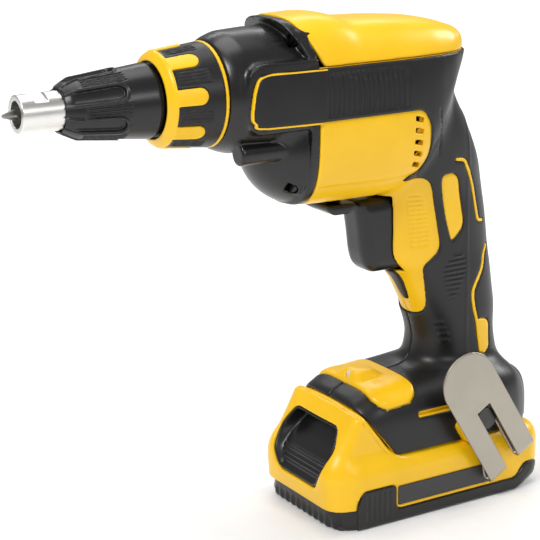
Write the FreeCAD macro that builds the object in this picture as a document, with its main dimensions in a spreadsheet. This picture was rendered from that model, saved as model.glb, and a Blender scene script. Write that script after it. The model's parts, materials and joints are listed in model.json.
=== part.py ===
import FreeCAD, Part
import math
import operator
import os
from types import SimpleNamespace

import Sketcher

# Cordless drywall screwdriver, standing on its pack.
# X runs forwards to the nose, Y to the tool's left, Z up; zero is the middle of the pack's base.

# Driving dimensions: lengths in millimetres, measured from zero where the name is a place.
SIZES = {
    # Lines that everything hangs on
    "drive_height": 227.5,
    "gear_module": 1.0,
    # Fits and cuts
    "run_gap": 0.05,
    "part_gap": 0.3,
    "seat_gap": 0.05,
    "cut_over": 5.0,
    "room": 400.0,
    # Motor housing, handle and foot
    "wall": 2.6,
    "grip_skin": 1.0,
    "body_width": 63.0,
    "tail_reach": 33.0,
    "case_joint": 68.0,
    "cap_rake": 12.0,
    "cap_foot": 64.0,
    "cap_rise": 35.5,
    "cap_seam": 239.5,
    "belly_drop": 59.3,
    "grip_low": 60.0,
    "grip_high": 234.0,
    "grip_reach": 62.5,
    "grip_depth": 52.0,
    "grip_width": 35.0,
    "foot_front": 45.0,
    "foot_rear": 72.5,
    "foot_width": 67.0,
    "foot_base": 36.0,
    "foot_height": 41.0,
    "foot_deck": 50.0,
    "web": 3.0,
    "vent_width": 6.0,
    "vent_height": 2.6,
    "vent_pitch": 5.6,
    "vent_place": 8.0,
    "vent_height_mid": 197.5,
    # Side bands
    "band_rear": 16.0,
    "band_front": 105.0,
    "band_low": 213.3,
    "band_high": 239.4,
    "band_inner": 29.9,
    "band_outer": 32.6,
    "band_corner": 7.0,
    # Gear case
    "case_radius": 30.3,
    "case_front": 113.9,
    "case_wall": 3.1,
    "case_face": 10.0,
    "case_shoulder_length": 9.0,
    "case_shoulder_radius": 29.5,
    "case_nose_radius": 25.5,
    "case_nose_length": 3.4,
    "belly_centre": 62.0,
    "belly_length": 30.0,
    "belly_radius": 29.7,
    "boss_radius": 5.5,
    "boss_front": 97.0,
    "spigot_radius": 20.0,
    "spigot_length": 10.3,
    "snout_radius": 15.0,
    "snout_length": 17.0,
    "bush_radius": 11.0,
    "bush_length": 22.0,
    "bush_rear": 116.0,
    "spring_room_radius": 16.0,
    # Gear plate, gear, pinion
    "plate_thick": 4.0,
    "plate_radius": 26.8,
    "plate_flat": 24.0,
    "plate_ear_radius": 2.8,
    "plate_arm_width": 4.0,
    "plate_boss_radius": 13.5,
    "bearing_radius": 11.0,
    "bearing_width": 7.0,
    "rear_bearing_radius": 9.5,
    "rear_bearing_width": 6.0,
    "rear_bearing_place": -11.0,
    "gear_bush_radius": 11.0,
    "gear_hub_radius": 8.0,
    "gear_rear": 74.0,
    "gear_width": 10.0,
    "jaw_inner": 9.6,
    "jaw_outer": 13.0,
    "jaw_length": 2.4,
    "jaw_width": 4.0,
    "tooth_gap": 0.16,
    # Motor
    "stator_rear": 14.0,
    "stator_length": 36.0,
    "stator_radius": 24.5,
    "stator_ring": 1.7,
    "tooth_width": 7.0,
    "rotor_radius": 13.8,
    "air_gap": 0.6,
    "coil_overhang": 4.5,
    "coil_width": 8.0,
    "coil_inner": 15.8,
    "coil_outer": 22.3,
    "shaft_radius": 4.0,
    "shaft_thin_radius": 2.5,
    "shaft_thin_start": 69.0,
    "pinion_rear": 70.0,
    "pinion_length": 16.0,
    "fan_rear": -2.0,
    "fan_plate": 1.5,
    "fan_depth": 7.0,
    "fan_radius": 21.0,
    "fan_hub_radius": 7.0,
    "fan_blade": 1.4,
    # Spindle, clutch and bit
    "spindle_rear": 70.0,
    "spindle_thin_radius": 5.0,
    "spindle_radius": 7.0,
    "spindle_flange_rear": 92.0,
    "spindle_flange": 4.0,
    "spindle_front": 146.0,
    "spindle_socket_depth": 14.0,
    "clutch_spring_radius": 7.4,
    "clutch_wire": 0.5,
    "clutch_pitch": 3.0,
    "holder_radius": 5.4,
    "holder_front": 200.0,
    "holder_socket_depth": 14.0,
    "bit_across": 6.35,
    "bit_neck_radius": 2.7,
    "bit_neck_start": 205.0,
    "bit_cone_start": 210.6,
    "bit_tip": 216.8,
    "bit_tip_radius": 0.8,
    "bit_flute": 1.5,
    "bit_web": 0.55,
    # Nose: lock collar, adapter, depth sleeve and tip
    "collar_rear": 114.3,
    "collar_ring": 1.3,
    "collar_rear_radius": 25.3,
    "collar_front": 143.6,
    "collar_face_radius": 18.9,
    "collar_bevel_start": 142.2,
    "collar_bevel_radius": 20.7,
    "collar_round_start": 140.6,
    "collar_round_radius": 22.6,
    "collar_drum_front": 139.0,
    "collar_drum_radius": 22.75,
    "collar_core_radius": 21.3,
    "collar_bore": 18.3,
    "finger_length": 15.0,
    "finger_width": 7.5,
    "adapter_rear": 126.0,
    "adapter_radius": 17.6,
    "adapter_shoulder": 142.0,
    "adapter_journal_radius": 13.0,
    "adapter_journal_front": 163.0,
    "adapter_key_radius": 7.95,
    "adapter_key_front": 182.0,
    "adapter_step": 150.0,
    "adapter_spindle_bore": 8.0,
    "adapter_bit_bore": 6.6,
    "sleeve_rear": 145.6,
    "sleeve_neck_rear": 143.0,
    "sleeve_neck_radius": 16.6,
    "sleeve_rear_radius": 18.0,
    "sleeve_cone_front": 183.0,
    "sleeve_cone_radius": 14.0,
    "sleeve_rim": 186.5,
    "sleeve_rim_radius": 12.3,
    "sleeve_front": 190.0,
    "sleeve_front_radius": 10.3,
    "sleeve_step": 164.0,
    "tip_tail": 168.0,
    "tip_step": 185.5,
    "tip_shoulder": 190.2,
    "tip_front": 210.3,
    "tip_front_radius": 8.7,
    "tip_rear_radius": 9.5,
    "tip_bore": 6.3,
    # Trigger, switch and lever
    "trigger_width": 21.0,
    "trigger_rear": -4.0,
    "trigger_top": 167.5,
    "trigger_height": 41.8,
    "trigger_reach": 34.5,
    "trigger_round": 5.0,
    "trigger_travel": 6.5,
    "switch_front": -11.5,
    "switch_length": 28.0,
    "switch_width": 22.0,
    "switch_height": 37.0,
    "switch_base": 128.0,
    "trigger_spring_radius": 3.0,
    "trigger_wire": 0.5,
    "trigger_spring_pitch": 2.0,
    "trigger_pocket": 8.0,
    "lever_rear": 34.0,
    "lever_front": 51.0,
    "lever_width": 24.0,
    "lever_low": 160.8,
    "lever_high": 167.8,
    "lever_chamfer": 3.0,
    "lever_stem_length": 8.0,
    "lever_stem_width": 6.0,
    "lever_stem_top": 171.5,
    "lever_travel": 3.0,
    # Foot fittings
    "cover_rear": 6.0,
    "cover_front": 36.0,
    "cover_width": 46.0,
    "cover_skin": 1.4,
    "hood_rear": 19.0,
    "hood_front": 31.0,
    "hood_width": 16.0,
    "hood_high": 74.9,
    "lens_radius": 2.2,
    "lens_length": 4.0,
    "lens_height": 70.7,
    "module_rear": -20.0,
    "module_length": 34.0,
    "module_width": 40.0,
    "module_height": 12.0,
    "block_rear": -52.0,
    "block_length": 26.0,
    "block_width": 25.0,
    "block_low": 44.9,
    "block_flange": 2.5,
    "blade_thick": 0.8,
    "blade_low": 38.8,
    "blade_pitch": 5.0,
    # Belt hook
    "hook_x": -45.2,
    "hook_z": 19.4,
    "hook_width": 33.3,
    "hook_length": 76.4,
    "hook_sheet": 1.5,
    "hook_outer": 45.5,
    "hook_inner": 38.7,
    "hook_leg": 46.0,
    "hook_slot_width": 9.0,
    "hook_slot_top": 41.3,
    "hook_screw_along": 33.0,
    "hook_boss_radius": 6.5,
    "hook_screw_radius": 1.95,
    "hook_thread_radius": 2.0,
    "hook_thread_depth": 10.0,
    "hook_head_radius": 6.0,
    "hook_head": 2.4,
    "hook_screw_length": 9.0,
    # Screws of the housing and of the gear case
    "screw_radius": 1.5,
    "screw_head_radius": 2.9,
    "screw_head": 2.4,
    "screw_boss_radius": 4.2,
    "screw_reach": 8.0,
    "case_screw_high_spread": 19.0,
    "case_screw_rise": 24.0,
    "case_screw_low_spread": 17.5,
    "case_screw_drop": 46.5,
    "case_screw_length": 9.5,
    "case_screw_front": 74.0,
    # Pack
    "pack_length": 124.0,
    "pack_width": 75.0,
    "pack_split": 7.0,
    "pack_deck": 35.7,
    "pack_wall": 2.8,
    "pack_corner": 10.0,
    "pack_shoulder": 4.5,
    "pack_floor": 2.6,
    "base_inset": 0.8,
    "tower_rear": 24.0,
    "tower_top_rear": 42.0,
    "tower_top_front": 45.5,
    "tower_top": 59.5,
    "tower_front": 64.0,
    "tower_front_low": 21.0,
    "tower_width": 62.0,
    "tower_corner": 8.0,
    "rail_stem_width": 38.0,
    "rail_head_width": 46.0,
    "rail_groove": 40.0,
    "rail_top": 46.0,
    "rail_rear": -57.0,
    "rail_front": 22.0,
    "slide_gap": 0.4,
    "recess_low": 22.5,
    "recess_high": 50.0,
    "recess_width": 39.0,
    "recess_wall": 1.4,
    "button_inset": 1.5,
    "button_thick": 5.0,
    "button_travel": 3.0,
    "button_room": 2.5,
    "release_spring_radius": 1.6,
    "release_wire": 0.3,
    "release_spring_pitch": 1.0,
    "release_pocket": 3.2,
    "label_rear": -48.0,
    "label_front": 25.0,
    "label_low": 7.6,
    "label_high": 20.8,
    "label_thick": 0.6,
    "cell_radius": 9.2,
    "cell_length": 65.0,
    "cell_pitch": 19.0,
    "cell_height": 12.4,
    "holder_low": 2.7,
    "holder_height": 9.0,
    "holder_end": 2.2,
    "holder_wall": 1.85,
    "board_low": 25.0,
    "board_thick": 1.6,
    "clip_length": 12.0,
    "clip_width": 3.2,
    "clip_slot": 1.6,
    "clip_place": -45.0,
    "clip_high": 44.2,
    "clip_slot_low": 38.0,
    "pack_screw_length": 7.0,
    "pack_boss_height": 9.0,
    "pack_screw_x": 55.0,
    "pack_screw_y": 30.0,
    # Angles in degrees
    "hook_lean_angle": 31.4,
}

# Counts
PINION_TEETH = 10
GEAR_TEETH = 50
STATOR_TEETH = 6
FAN_BLADES = 9
FINGERS = 8
CELLS = 5
CONTACTS = 5
VENTS = 5
SECTION_POINTS = 16
FLANK_POINTS = 4
JAWS = 3
FLUTES = 4

# Shares
TOOTH_TOP_SHARE = 0.8
JAW_SHIFT_SHARE = 0.5
TOOTH_ROOT_SHARE = 1.0
PRESSURE_ANGLE = math.radians(25)
BODY_SQUARE_SHARE = 3.1
GRIP_SQUARE_SHARE = 2.5
FOOT_SQUARE_SHARE = 4.0

# Upper body, from the tail forwards: place along, half width, rise above and drop below the drive
BODY_STATION_SHARES = (
    (0.000, 0.22, 0.394, -0.130),
    (0.044, 0.476, 0.538, -0.080),
    (0.115, 0.70, 0.656, 0.130),
    (0.221, 0.876, 0.775, 0.615),
    (0.345, 0.965, 0.842, 0.910),
    (0.469, 0.997, 0.879, 0.992),
    (0.600, 1.000, 0.892, 1.000),
    (0.660, 1.000, 0.925, 1.000),
    (0.730, 1.000, 0.975, 0.998),
    (0.800, 1.000, 0.996, 0.995),
    (0.900, 0.997, 0.992, 0.987),
    (1.000, 0.997, 0.983, 0.975),
)

# Handle, from the foot upwards: place along, reach of its back, depth, half width
GRIP_STATION_SHARES = (
    (0.000, 1.008, 1.212, 1.400),
    (0.069, 0.960, 1.010, 1.100),
    (0.138, 0.928, 0.913, 1.000),
    (0.230, 0.928, 0.990, 0.990),
    (0.287, 0.907, 1.052, 0.990),
    (0.356, 0.882, 1.150, 0.990),
    (0.408, 0.861, 1.270, 0.990),
    (0.517, 0.821, 1.270, 0.990),
    (0.603, 0.776, 1.220, 1.000),
    (0.695, 0.713, 1.210, 1.120),
    (0.805, 0.576, 1.115, 1.200),
    (0.897, 0.440, 0.865, 1.140),
    (0.954, 0.397, 0.731, 0.970),
    (1.000, 0.384, 0.577, 0.740),
)

# Foot, from the rear forwards: place along, half width, height
FOOT_STATION_SHARES = (
    (0.000, 0.360, 0.290),
    (0.017, 0.550, 0.500),
    (0.047, 0.700, 0.610),
    (0.098, 0.840, 0.720),
    (0.174, 0.940, 0.800),
    (0.277, 0.990, 0.838),
    (0.447, 1.000, 0.848),
    (0.617, 1.000, 0.815),
    (0.770, 0.990, 0.790),
    (0.881, 0.960, 0.768),
    (0.928, 0.920, 0.710),
    (0.966, 0.870, 0.655),
    (1.000, 0.800, 0.560),
)

# Edge of the soft grip seen from the side, as shares of the spindle's height along X and Z
GRIP_EDGE_SHARES = (
    (0.070, 1.0525),
    (-0.30, 1.0525),
    (-0.50, 0.900),
    (-0.50, 0.120),
    (0.300, 0.120),
    (0.300, 0.300),
    (0.130, 0.400),
    (0.130, 0.450),
    (0.009, 0.455),
    (-0.021, 0.483),
    (-0.014, 0.565),
    (-0.064, 0.605),
    (-0.036, 0.758),
    (0.079, 0.787),
    (0.011, 0.870),
    (0.029, 0.931),
    (0.070, 0.9375),
)

# Screws through the housing halves, as shares of the spindle's height along X and Z
HOUSING_SCREW_SHARES = (
    (0.235, 1.012),
    (-0.020, 1.012),
    (-0.165, 0.775),
    (-0.212, 0.520),
    (-0.215, 0.375),
    (-0.090, 0.375),
)

# Side of the trigger, front to back and top to bottom, as shares of its reach and height
TRIGGER_SIDE_SHARES = (
    (0.00, 0.00),
    (1.00, 0.00),
    (0.97, 0.40),
    (0.91, 0.84),
    (0.78, 0.98),
    (0.66, 1.00),
    (0.38, 0.93),
    (0.00, 0.93),
)

OPERATIONS = {"+": operator.add, "-": operator.sub, "*": operator.mul, "/": operator.truediv}
PIECES = []
CORNERS = ((1, 1), (1, -1), (-1, 1), (-1, -1))
SAME = Part.Precision.approximation()

doc = FreeCAD.newDocument("drywall_screwdriver")
sheet = doc.addObject("Spreadsheet::Sheet", "Sizes")
for row, (size_name, amount) in enumerate(SIZES.items(), start=1):
    sheet.set(f"A{row}", size_name)
    sheet.set(f"B{row}", str(amount))
    sheet.setAlias(f"B{row}", size_name)
doc.recompute()


class Size:
    """A number of the sheet, or a sum of such numbers, with the expression that follows it."""

    def __init__(self, number, text):
        self.number = number
        self.text = text

    def __float__(self):
        return float(self.number)

    def __add__(self, other):
        return combine(self, "+", other)

    def __radd__(self, other):
        return combine(other, "+", self)

    def __sub__(self, other):
        return combine(self, "-", other)

    def __rsub__(self, other):
        return combine(other, "-", self)

    def __mul__(self, other):
        return combine(self, "*", other)

    def __rmul__(self, other):
        return combine(other, "*", self)

    def __truediv__(self, other):
        return combine(self, "/", other)

    def __neg__(self):
        return combine(0, "-", self)


def as_size(amount):
    if isinstance(amount, Size):
        return amount
    return Size(amount, str(amount))


def combine(first, sign, second):
    first = as_size(first)
    second = as_size(second)
    number = OPERATIONS[sign](first.number, second.number)
    return Size(number, f"({first.text} {sign} {second.text})")


S = SimpleNamespace(**{name: Size(sheet.get(name), f"Sizes.{name}") for name in SIZES})

motor_height = S.drive_height - S.gear_module * (PINION_TEETH + GEAR_TEETH) / 2
tail = -S.tail_reach
drive_line = (0, S.drive_height)
motor_line = (0, motor_height)
everywhere = (-S.room, S.room)

TURNS = {
    "X": FreeCAD.Rotation(FreeCAD.Vector(0, 1, 0), 90),
    "Y": FreeCAD.Rotation(FreeCAD.Vector(1, 0, 0), -90),
    "Z": FreeCAD.Rotation(),
}


def bind(thing, field, amount):
    thing.setExpression(field, as_size(amount).text)


def place(thing, x=0, y=0, z=0):
    for letter, amount in zip("xyz", (x, y, z)):
        bind(thing, f"Placement.Base.{letter}", amount)


def about(middle, width):
    """The two ends of a width laid about a middle."""
    return (middle - width / 2, middle + width / 2)


def box(name, x, y, z):
    """A block between two places along each axis."""
    thing = doc.addObject("Part::Box", name)
    for field, (low, high) in zip(("Length", "Width", "Height"), (x, y, z)):
        bind(thing, field, high - low)
    place(thing, x[0], y[0], z[0])
    return thing


def rod(name, axis, radius, along, across):
    """A round bar along one axis, between two places on it."""
    thing = doc.addObject("Part::Cylinder", name)
    bind(thing, "Radius", radius)
    bind(thing, "Height", along[1] - along[0])
    thing.Placement = FreeCAD.Placement(FreeCAD.Vector(), TURNS[axis])
    where = list(across)
    where.insert("XYZ".index(axis), along[0])
    place(thing, *where)
    return thing


def fuse(name, *things):
    thing = doc.addObject("Part::MultiFuse", name)
    thing.Shapes = list(things)
    thing.Refine = False
    return thing


def common(name, first, second):
    thing = doc.addObject("Part::Common", name)
    thing.Base = first
    thing.Tool = second
    thing.Refine = False
    return thing


def cut(name, base, *tools):
    """What is left of a piece after each tool has been taken away in turn."""
    for count, tool in enumerate(tools, start=1):
        thing = doc.addObject("Part::Cut", name if count == len(tools) else f"{name}_step_{count}")
        thing.Base = base
        thing.Tool = tool
        thing.Refine = False
        base = thing
    return base


def mirrored(name, source):
    """The same piece on the other side of the tool."""
    thing = doc.addObject("Part::Mirroring", name)
    thing.Source = source
    thing.Normal = FreeCAD.Vector(0, 1, 0)
    return thing


def piece(thing, label):
    thing.Label = label
    PIECES.append(thing)
    return thing


def sketch_on(body, name, role, points):
    """A closed outline whose corners are all tied to the sheet."""
    sketch = body.newObject("Sketcher::SketchObject", name)
    plane = next(item for item in body.Origin.OriginFeatures if item.Role == role)
    sketch.AttachmentSupport = (plane, [""])
    sketch.MapMode = "FlatFace"
    corners = [FreeCAD.Vector(float(first), float(second), 0) for first, second in points]
    count = len(corners)
    for index in range(count):
        sketch.addGeometry(Part.LineSegment(corners[index], corners[(index + 1) % count]))
    for index in range(count):
        sketch.addConstraint(Sketcher.Constraint("Coincident", index, 2, (index + 1) % count, 1))
    for index, point in enumerate(points):
        for kind, amount in zip(("DistanceX", "DistanceY"), point):
            size = as_size(amount)
            number = sketch.addConstraint(Sketcher.Constraint(kind, index, 1, float(size)))
            sketch.setExpression(f"Constraints[{number}]", size.text)
    return sketch


def turned(name, points, line):
    """A piece turned about a line along X, from points of place and radius."""
    body = doc.addObject("PartDesign::Body", name)
    sketch = sketch_on(body, f"{name}_outline", "XZ_Plane", points)
    feature = body.newObject("PartDesign::Revolution", f"{name}_turn")
    feature.Profile = sketch
    feature.ReferenceAxis = (sketch, ["H_Axis"])
    feature.Angle = 360
    place(body, 0, *line)
    return body


def slab(name, points, low, high):
    """A side outline in X and Z, given thickness along Y."""
    body = doc.addObject("PartDesign::Body", name)
    sketch = sketch_on(body, f"{name}_outline", "XZ_Plane", points)
    bind(sketch, "AttachmentOffset.Base.z", -high)
    feature = body.newObject("PartDesign::Pad", f"{name}_pad")
    feature.Profile = sketch
    bind(feature, "Length", high - low)
    return body


def round_edges(body, name, radius, chosen):
    """Rounds the edges of a body that the test picks."""
    body.recompute(True)
    tip = body.Tip
    names = [f"Edge{index}" for index, edge in enumerate(tip.Shape.Edges, start=1) if chosen(edge)]
    feature = body.newObject("PartDesign::Fillet", name)
    feature.Base = (tip, names)
    bind(feature, "Radius", radius)
    return body


def is_along(edge, axis):
    """True for a straight edge along an axis."""
    if not isinstance(edge.Curve, Part.Line):
        return False
    return abs(abs(edge.Curve.Direction.dot(axis)) - 1) < SAME


def made(name, shape):
    """A free-form piece whose shape is worked out from the sheet's numbers."""
    thing = doc.addObject("Part::Feature", name)
    thing.Shape = shape
    thing.Placement = FreeCAD.Placement()
    return thing


def ring(name, axis, outer, inner, along, across):
    """A plain round ring along an axis."""
    hole = rod(f"{name}_hole", axis, inner, (along[0] - S.cut_over, along[1] + S.cut_over), across)
    return cut(name, rod(f"{name}_blank", axis, outer, along, across), hole)


def spoke(name, along, half_width, inner, outer, turn, line):
    """A block standing out from a line along X, turned about it by an angle in degrees."""
    thing = box(name, along, (-half_width, half_width), (inner, outer))
    thing.Placement = FreeCAD.Placement(FreeCAD.Vector(), FreeCAD.Rotation(FreeCAD.Vector(1, 0, 0), turn))
    angle = math.radians(turn)
    place(thing, along[0], -half_width * math.cos(angle) - inner * math.sin(angle),
          line[1] - half_width * math.sin(angle) + inner * math.cos(angle))
    return thing


def hexagon(name, across, along):
    """A six-sided bar on the drive line."""
    thing = doc.addObject("Part::Prism", name)
    thing.Polygon = 6
    bind(thing, "Circumradius", across / math.sqrt(3))
    bind(thing, "Height", along[1] - along[0])
    thing.Placement = FreeCAD.Placement(FreeCAD.Vector(), TURNS["X"])
    place(thing, along[0], *drive_line)
    return thing


def rounded_block(name, x, y, z, corner):
    """A block with round upright corners."""
    outline = ((x[0], z[0]), (x[1], z[0]), (x[1], z[1]), (x[0], z[1]))
    body = slab(name, outline, y[0], y[1])
    upright = FreeCAD.Vector(0, 0, 1)
    return round_edges(body, f"{name}_corners", corner, lambda edge: is_along(edge, upright))


def spring(name, radius, wire, pitch, along, line):
    """A coil spring along X between two places."""
    helix = doc.addObject("Part::Helix", f"{name}_line")
    bind(helix, "Pitch", pitch)
    bind(helix, "Height", along[1] - along[0] - 2 * wire)
    bind(helix, "Radius", radius)
    section = doc.addObject("Part::Circle", f"{name}_wire")
    bind(section, "Radius", wire)
    section.Placement = FreeCAD.Placement(FreeCAD.Vector(), FreeCAD.Rotation(FreeCAD.Vector(1, 0, 0), 90))
    bind(section, "Placement.Base.x", radius)
    coil = doc.addObject("Part::Sweep", name)
    coil.Sections = [section]
    coil.Spine = (helix, ["Edge1"])
    coil.Solid = True
    coil.Frenet = True
    coil.Placement = FreeCAD.Placement(FreeCAD.Vector(), TURNS["X"])
    place(coil, along[0] + wire, *line)
    return piece(coil, name)


# Free-form lofts of the housing

def squared_ring(angle, power):
    """A point of a squared circle of radius one."""
    cosine, sine = math.cos(angle), math.sin(angle)
    reach = (abs(cosine) ** power + abs(sine) ** power) ** (-1 / power)
    return cosine * reach, sine * reach


def smooth_loop(points):
    curve = Part.BSplineCurve()
    curve.interpolate(Points=points, PeriodicFlag=True)
    return Part.Wire([curve.toShape()])


def ring_angles():
    return [2 * math.pi * index / SECTION_POINTS for index in range(SECTION_POINTS)]


def body_loft(grow):
    """The upper body with its tail and belly, grown outwards by a skin."""
    length = float(S.tail_reach + S.case_joint + S.cap_rake) + grow
    start = float(tail) - grow
    wires = []
    for along, wide, rise, drop in BODY_STATION_SHARES:
        half = float(S.body_width) / 2 * wide + grow
        high = float(S.drive_height + S.cap_rise * rise) + grow
        low = float(S.drive_height - S.belly_drop * drop) - grow
        ring = [squared_ring(angle, BODY_SQUARE_SHARE) for angle in ring_angles()]
        wires.append(smooth_loop([
            FreeCAD.Vector(start + length * along, half * side, (high + low) / 2 + (high - low) / 2 * up)
            for side, up in ring
        ]))
    return Part.makeLoft(wires, True)


def grip_loft(grow):
    """The handle, from inside the foot up into the body."""
    wires = []
    for along, back, deep, wide in GRIP_STATION_SHARES:
        height = float(S.grip_low + (S.grip_high - S.grip_low) * along)
        rear = -float(S.grip_reach) * back - grow
        depth = float(S.grip_depth) * deep + 2 * grow
        half = float(S.grip_width) / 2 * wide + grow
        ring = [squared_ring(angle, GRIP_SQUARE_SHARE) for angle in ring_angles()]
        wires.append(smooth_loop([
            FreeCAD.Vector(rear + depth / 2 + depth / 2 * ahead, half * side, height)
            for ahead, side in ring
        ]))
    return Part.makeLoft(wires, True)


def foot_loft(grow, base):
    """The foot, flat underneath, with a rounded top."""
    length = float(S.foot_rear + S.foot_front) + 2 * grow
    start = -float(S.foot_rear) - grow
    wires = []
    for along, wide, tall in FOOT_STATION_SHARES:
        half = float(S.foot_width) / 2 * wide + grow
        high = float(S.foot_base + S.foot_height * tall) + grow
        place_x = start + length * along
        steps = SECTION_POINTS // 2
        arch = [squared_ring(math.pi * index / steps, FOOT_SQUARE_SHARE) for index in range(steps + 1)]
        points = [FreeCAD.Vector(place_x, half * side, base + (high - base) * up) for side, up in arch]
        curve = Part.BSplineCurve()
        curve.interpolate(Points=points)
        flat = Part.LineSegment(points[-1], points[0])
        wires.append(Part.Wire([curve.toShape(), flat.toShape()]))
    return Part.makeLoft(wires, True)


def housing_form(grow, base):
    whole = body_loft(grow).fuse([grip_loft(grow), foot_loft(grow, base)])
    return whole


outer_form = made("housing_form", housing_form(0.0, float(S.foot_base)))
hollow_form = made("housing_hollow", housing_form(-float(S.wall), float(S.foot_base - S.cut_over)))
grip_form = made("grip_form", housing_form(float(S.grip_skin), float(S.foot_base)))
body_outside = made("body_outside", body_loft(0.0))
handle_outside = made("handle_outside", grip_loft(0.0))
foot_outside = made("foot_outside", foot_loft(0.0, float(S.foot_base)))
body_inside = made("body_inside", body_loft(-float(S.wall)))


# Cuts that several pieces share

def cap_front(name, over):
    """Everything ahead of the cap's raked front edge and of the joint below it."""
    return slab(name, (
        (S.case_joint, S.pack_split),
        (S.case_joint, S.cap_seam),
        (S.cap_foot, S.cap_seam),
        (S.cap_foot + S.cap_rake, S.drive_height + S.cap_rise),
        (S.cap_foot + S.cap_rake, S.drive_height + S.room),
        (S.room, S.drive_height + S.room),
        (S.room, S.pack_split),
    ), -over, over)


def pack_channel(name):
    """The slot in the foot that the rails of the pack run in, open to the front."""
    stem = box(f"{name}_stem",
               (S.rail_rear - S.slide_gap, S.room),
               (-S.rail_stem_width / 2 - S.slide_gap, S.rail_stem_width / 2 + S.slide_gap),
               (S.foot_base - S.cut_over, S.rail_top + S.slide_gap))
    head = box(f"{name}_head",
               (S.rail_rear - S.slide_gap, S.room),
               (-S.rail_head_width / 2 - S.slide_gap, S.rail_head_width / 2 + S.slide_gap),
               (S.rail_groove - S.slide_gap, S.rail_top + S.slide_gap))
    return fuse(name, stem, head)


def tower_room(name):
    """The space ahead of the foot's sloping front, where the pack's tower stands."""
    lean = (S.tower_top_rear - S.tower_rear) / (S.tower_top - S.pack_deck)
    rear = S.tower_rear - S.part_gap
    return slab(name, (
        (rear - lean * (S.pack_deck - S.pack_split), S.pack_split),
        (rear + lean * (S.tower_top + S.cut_over - S.pack_deck), S.tower_top + S.cut_over),
        (S.room, S.tower_top + S.cut_over),
        (S.room, S.pack_split),
    ), -S.room / 4, S.room / 4)


beyond_joint = cap_front("beyond_joint", S.room / 4)
above_seam = box("above_seam", everywhere, everywhere, (S.cap_seam, S.cap_seam + S.room))
channel = pack_channel("pack_channel")
tower_space = tower_room("tower_space")
trigger_gate = box(
    "trigger_gate",
    (S.trigger_rear - S.trigger_travel - S.part_gap, S.room),
    (-S.trigger_width / 2 - S.part_gap, S.trigger_width / 2 + S.part_gap),
    (S.trigger_top - S.trigger_height - S.part_gap, S.trigger_top + S.part_gap))
lever_middle = (S.lever_rear + S.lever_front) / 2
lever_slot = box(
    "lever_slot",
    about(lever_middle, S.lever_stem_length + 2 * S.part_gap),
    about(0, S.lever_stem_width + 2 * S.lever_travel + 2 * S.part_gap),
    (S.lever_low, S.lever_stem_top + S.cut_over))
hook_boss_x = S.hook_x + S.hook_screw_along * math.sin(math.radians(SIZES["hook_lean_angle"]))
hook_boss_z = S.hook_z + S.hook_screw_along * math.cos(math.radians(SIZES["hook_lean_angle"]))
cover_gap = S.part_gap / 2


def cover_room(name, gap):
    """The space over the foot that the yellow cover fills."""
    return box(name, (S.cover_rear - gap, S.cover_front + gap),
               (-S.cover_width / 2 - gap, S.cover_width / 2 + gap),
               (S.foot_deck + S.cut_over, S.drive_height / 2))


# Housing halves

def motor_webs():
    """Ribs that hold the stator and the rear bearing, and the shelf under the switch."""
    ribs = []
    seats = (S.stator_rear + S.web, S.stator_rear + S.stator_length - 2 * S.web)
    for index, start in enumerate(seats):
        ribs.append(box(f"stator_rib_{index}", (start, start + S.web), everywhere,
                        (S.drive_height - S.belly_drop, S.drive_height)))
    ribs.append(box("bearing_rib", (S.rear_bearing_place, S.rear_bearing_place + S.rear_bearing_width),
                    everywhere, about(motor_height, 4 * S.rear_bearing_radius)))
    ribs.append(box("switch_shelf", (S.switch_front - S.switch_length, S.switch_front), everywhere,
                    (S.switch_base - S.web, S.switch_base)))
    ribs.append(box("foot_floor", (-S.foot_rear, S.foot_front), everywhere, (S.foot_base, S.foot_deck)))
    return ribs


def screw_places():
    return [(S.drive_height * along, S.drive_height * up) for along, up in HOUSING_SCREW_SHARES]


def screw_bosses():
    return [rod(f"screw_boss_{index}", "Y", S.screw_boss_radius, everywhere, where)
            for index, where in enumerate(screw_places())]


def screw_bores():
    """Clearance for the screws, with their heads sunk from the right."""
    bores = []
    for index, where in enumerate(screw_places()):
        bores.append(rod(f"screw_bore_{index}", "Y", S.screw_radius + S.run_gap,
                         (-S.room, S.screw_reach + S.part_gap), where))
        bores.append(rod(f"screw_sink_{index}", "Y", S.screw_head_radius + S.part_gap,
                         (-S.room, -S.screw_reach), where))
    return bores


def case_screw_places():
    """Where the gear case is screwed on: a wide pair above the spindle and a pair below the motor."""
    high = S.drive_height + S.case_screw_rise
    low = S.drive_height - S.case_screw_drop
    pairs = ((S.case_screw_high_spread, high), (S.case_screw_low_spread, low))
    return [(side * spread, level) for side in (-1, 1) for spread, level in pairs]


def vent_slots():
    slots = []
    for index in range(VENTS):
        middle = S.vent_height_mid + S.vent_pitch * (index - (VENTS - 1) / 2)
        slots.append(box(f"vent_{index}", (S.vent_place - S.vent_width / 2, S.vent_place + S.vent_width / 2),
                         everywhere, (middle - S.vent_height / 2, middle + S.vent_height / 2)))
    return slots


def hook_boss(name, side):
    """Boss on the foot's side that takes the belt hook, with a threaded hole."""
    low, high = sorted((side * S.foot_width / 4, side * S.hook_inner), key=float)
    return rod(name, "Y", S.hook_boss_radius, (low, high), (hook_boss_x, hook_boss_z))


def hook_thread(name, side):
    mouth = side * S.hook_inner
    low, high = sorted((mouth - side * S.hook_thread_depth, mouth + side * S.cut_over), key=float)
    return rod(name, "Y", S.hook_thread_radius, (low, high), (hook_boss_x, hook_boss_z))


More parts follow.
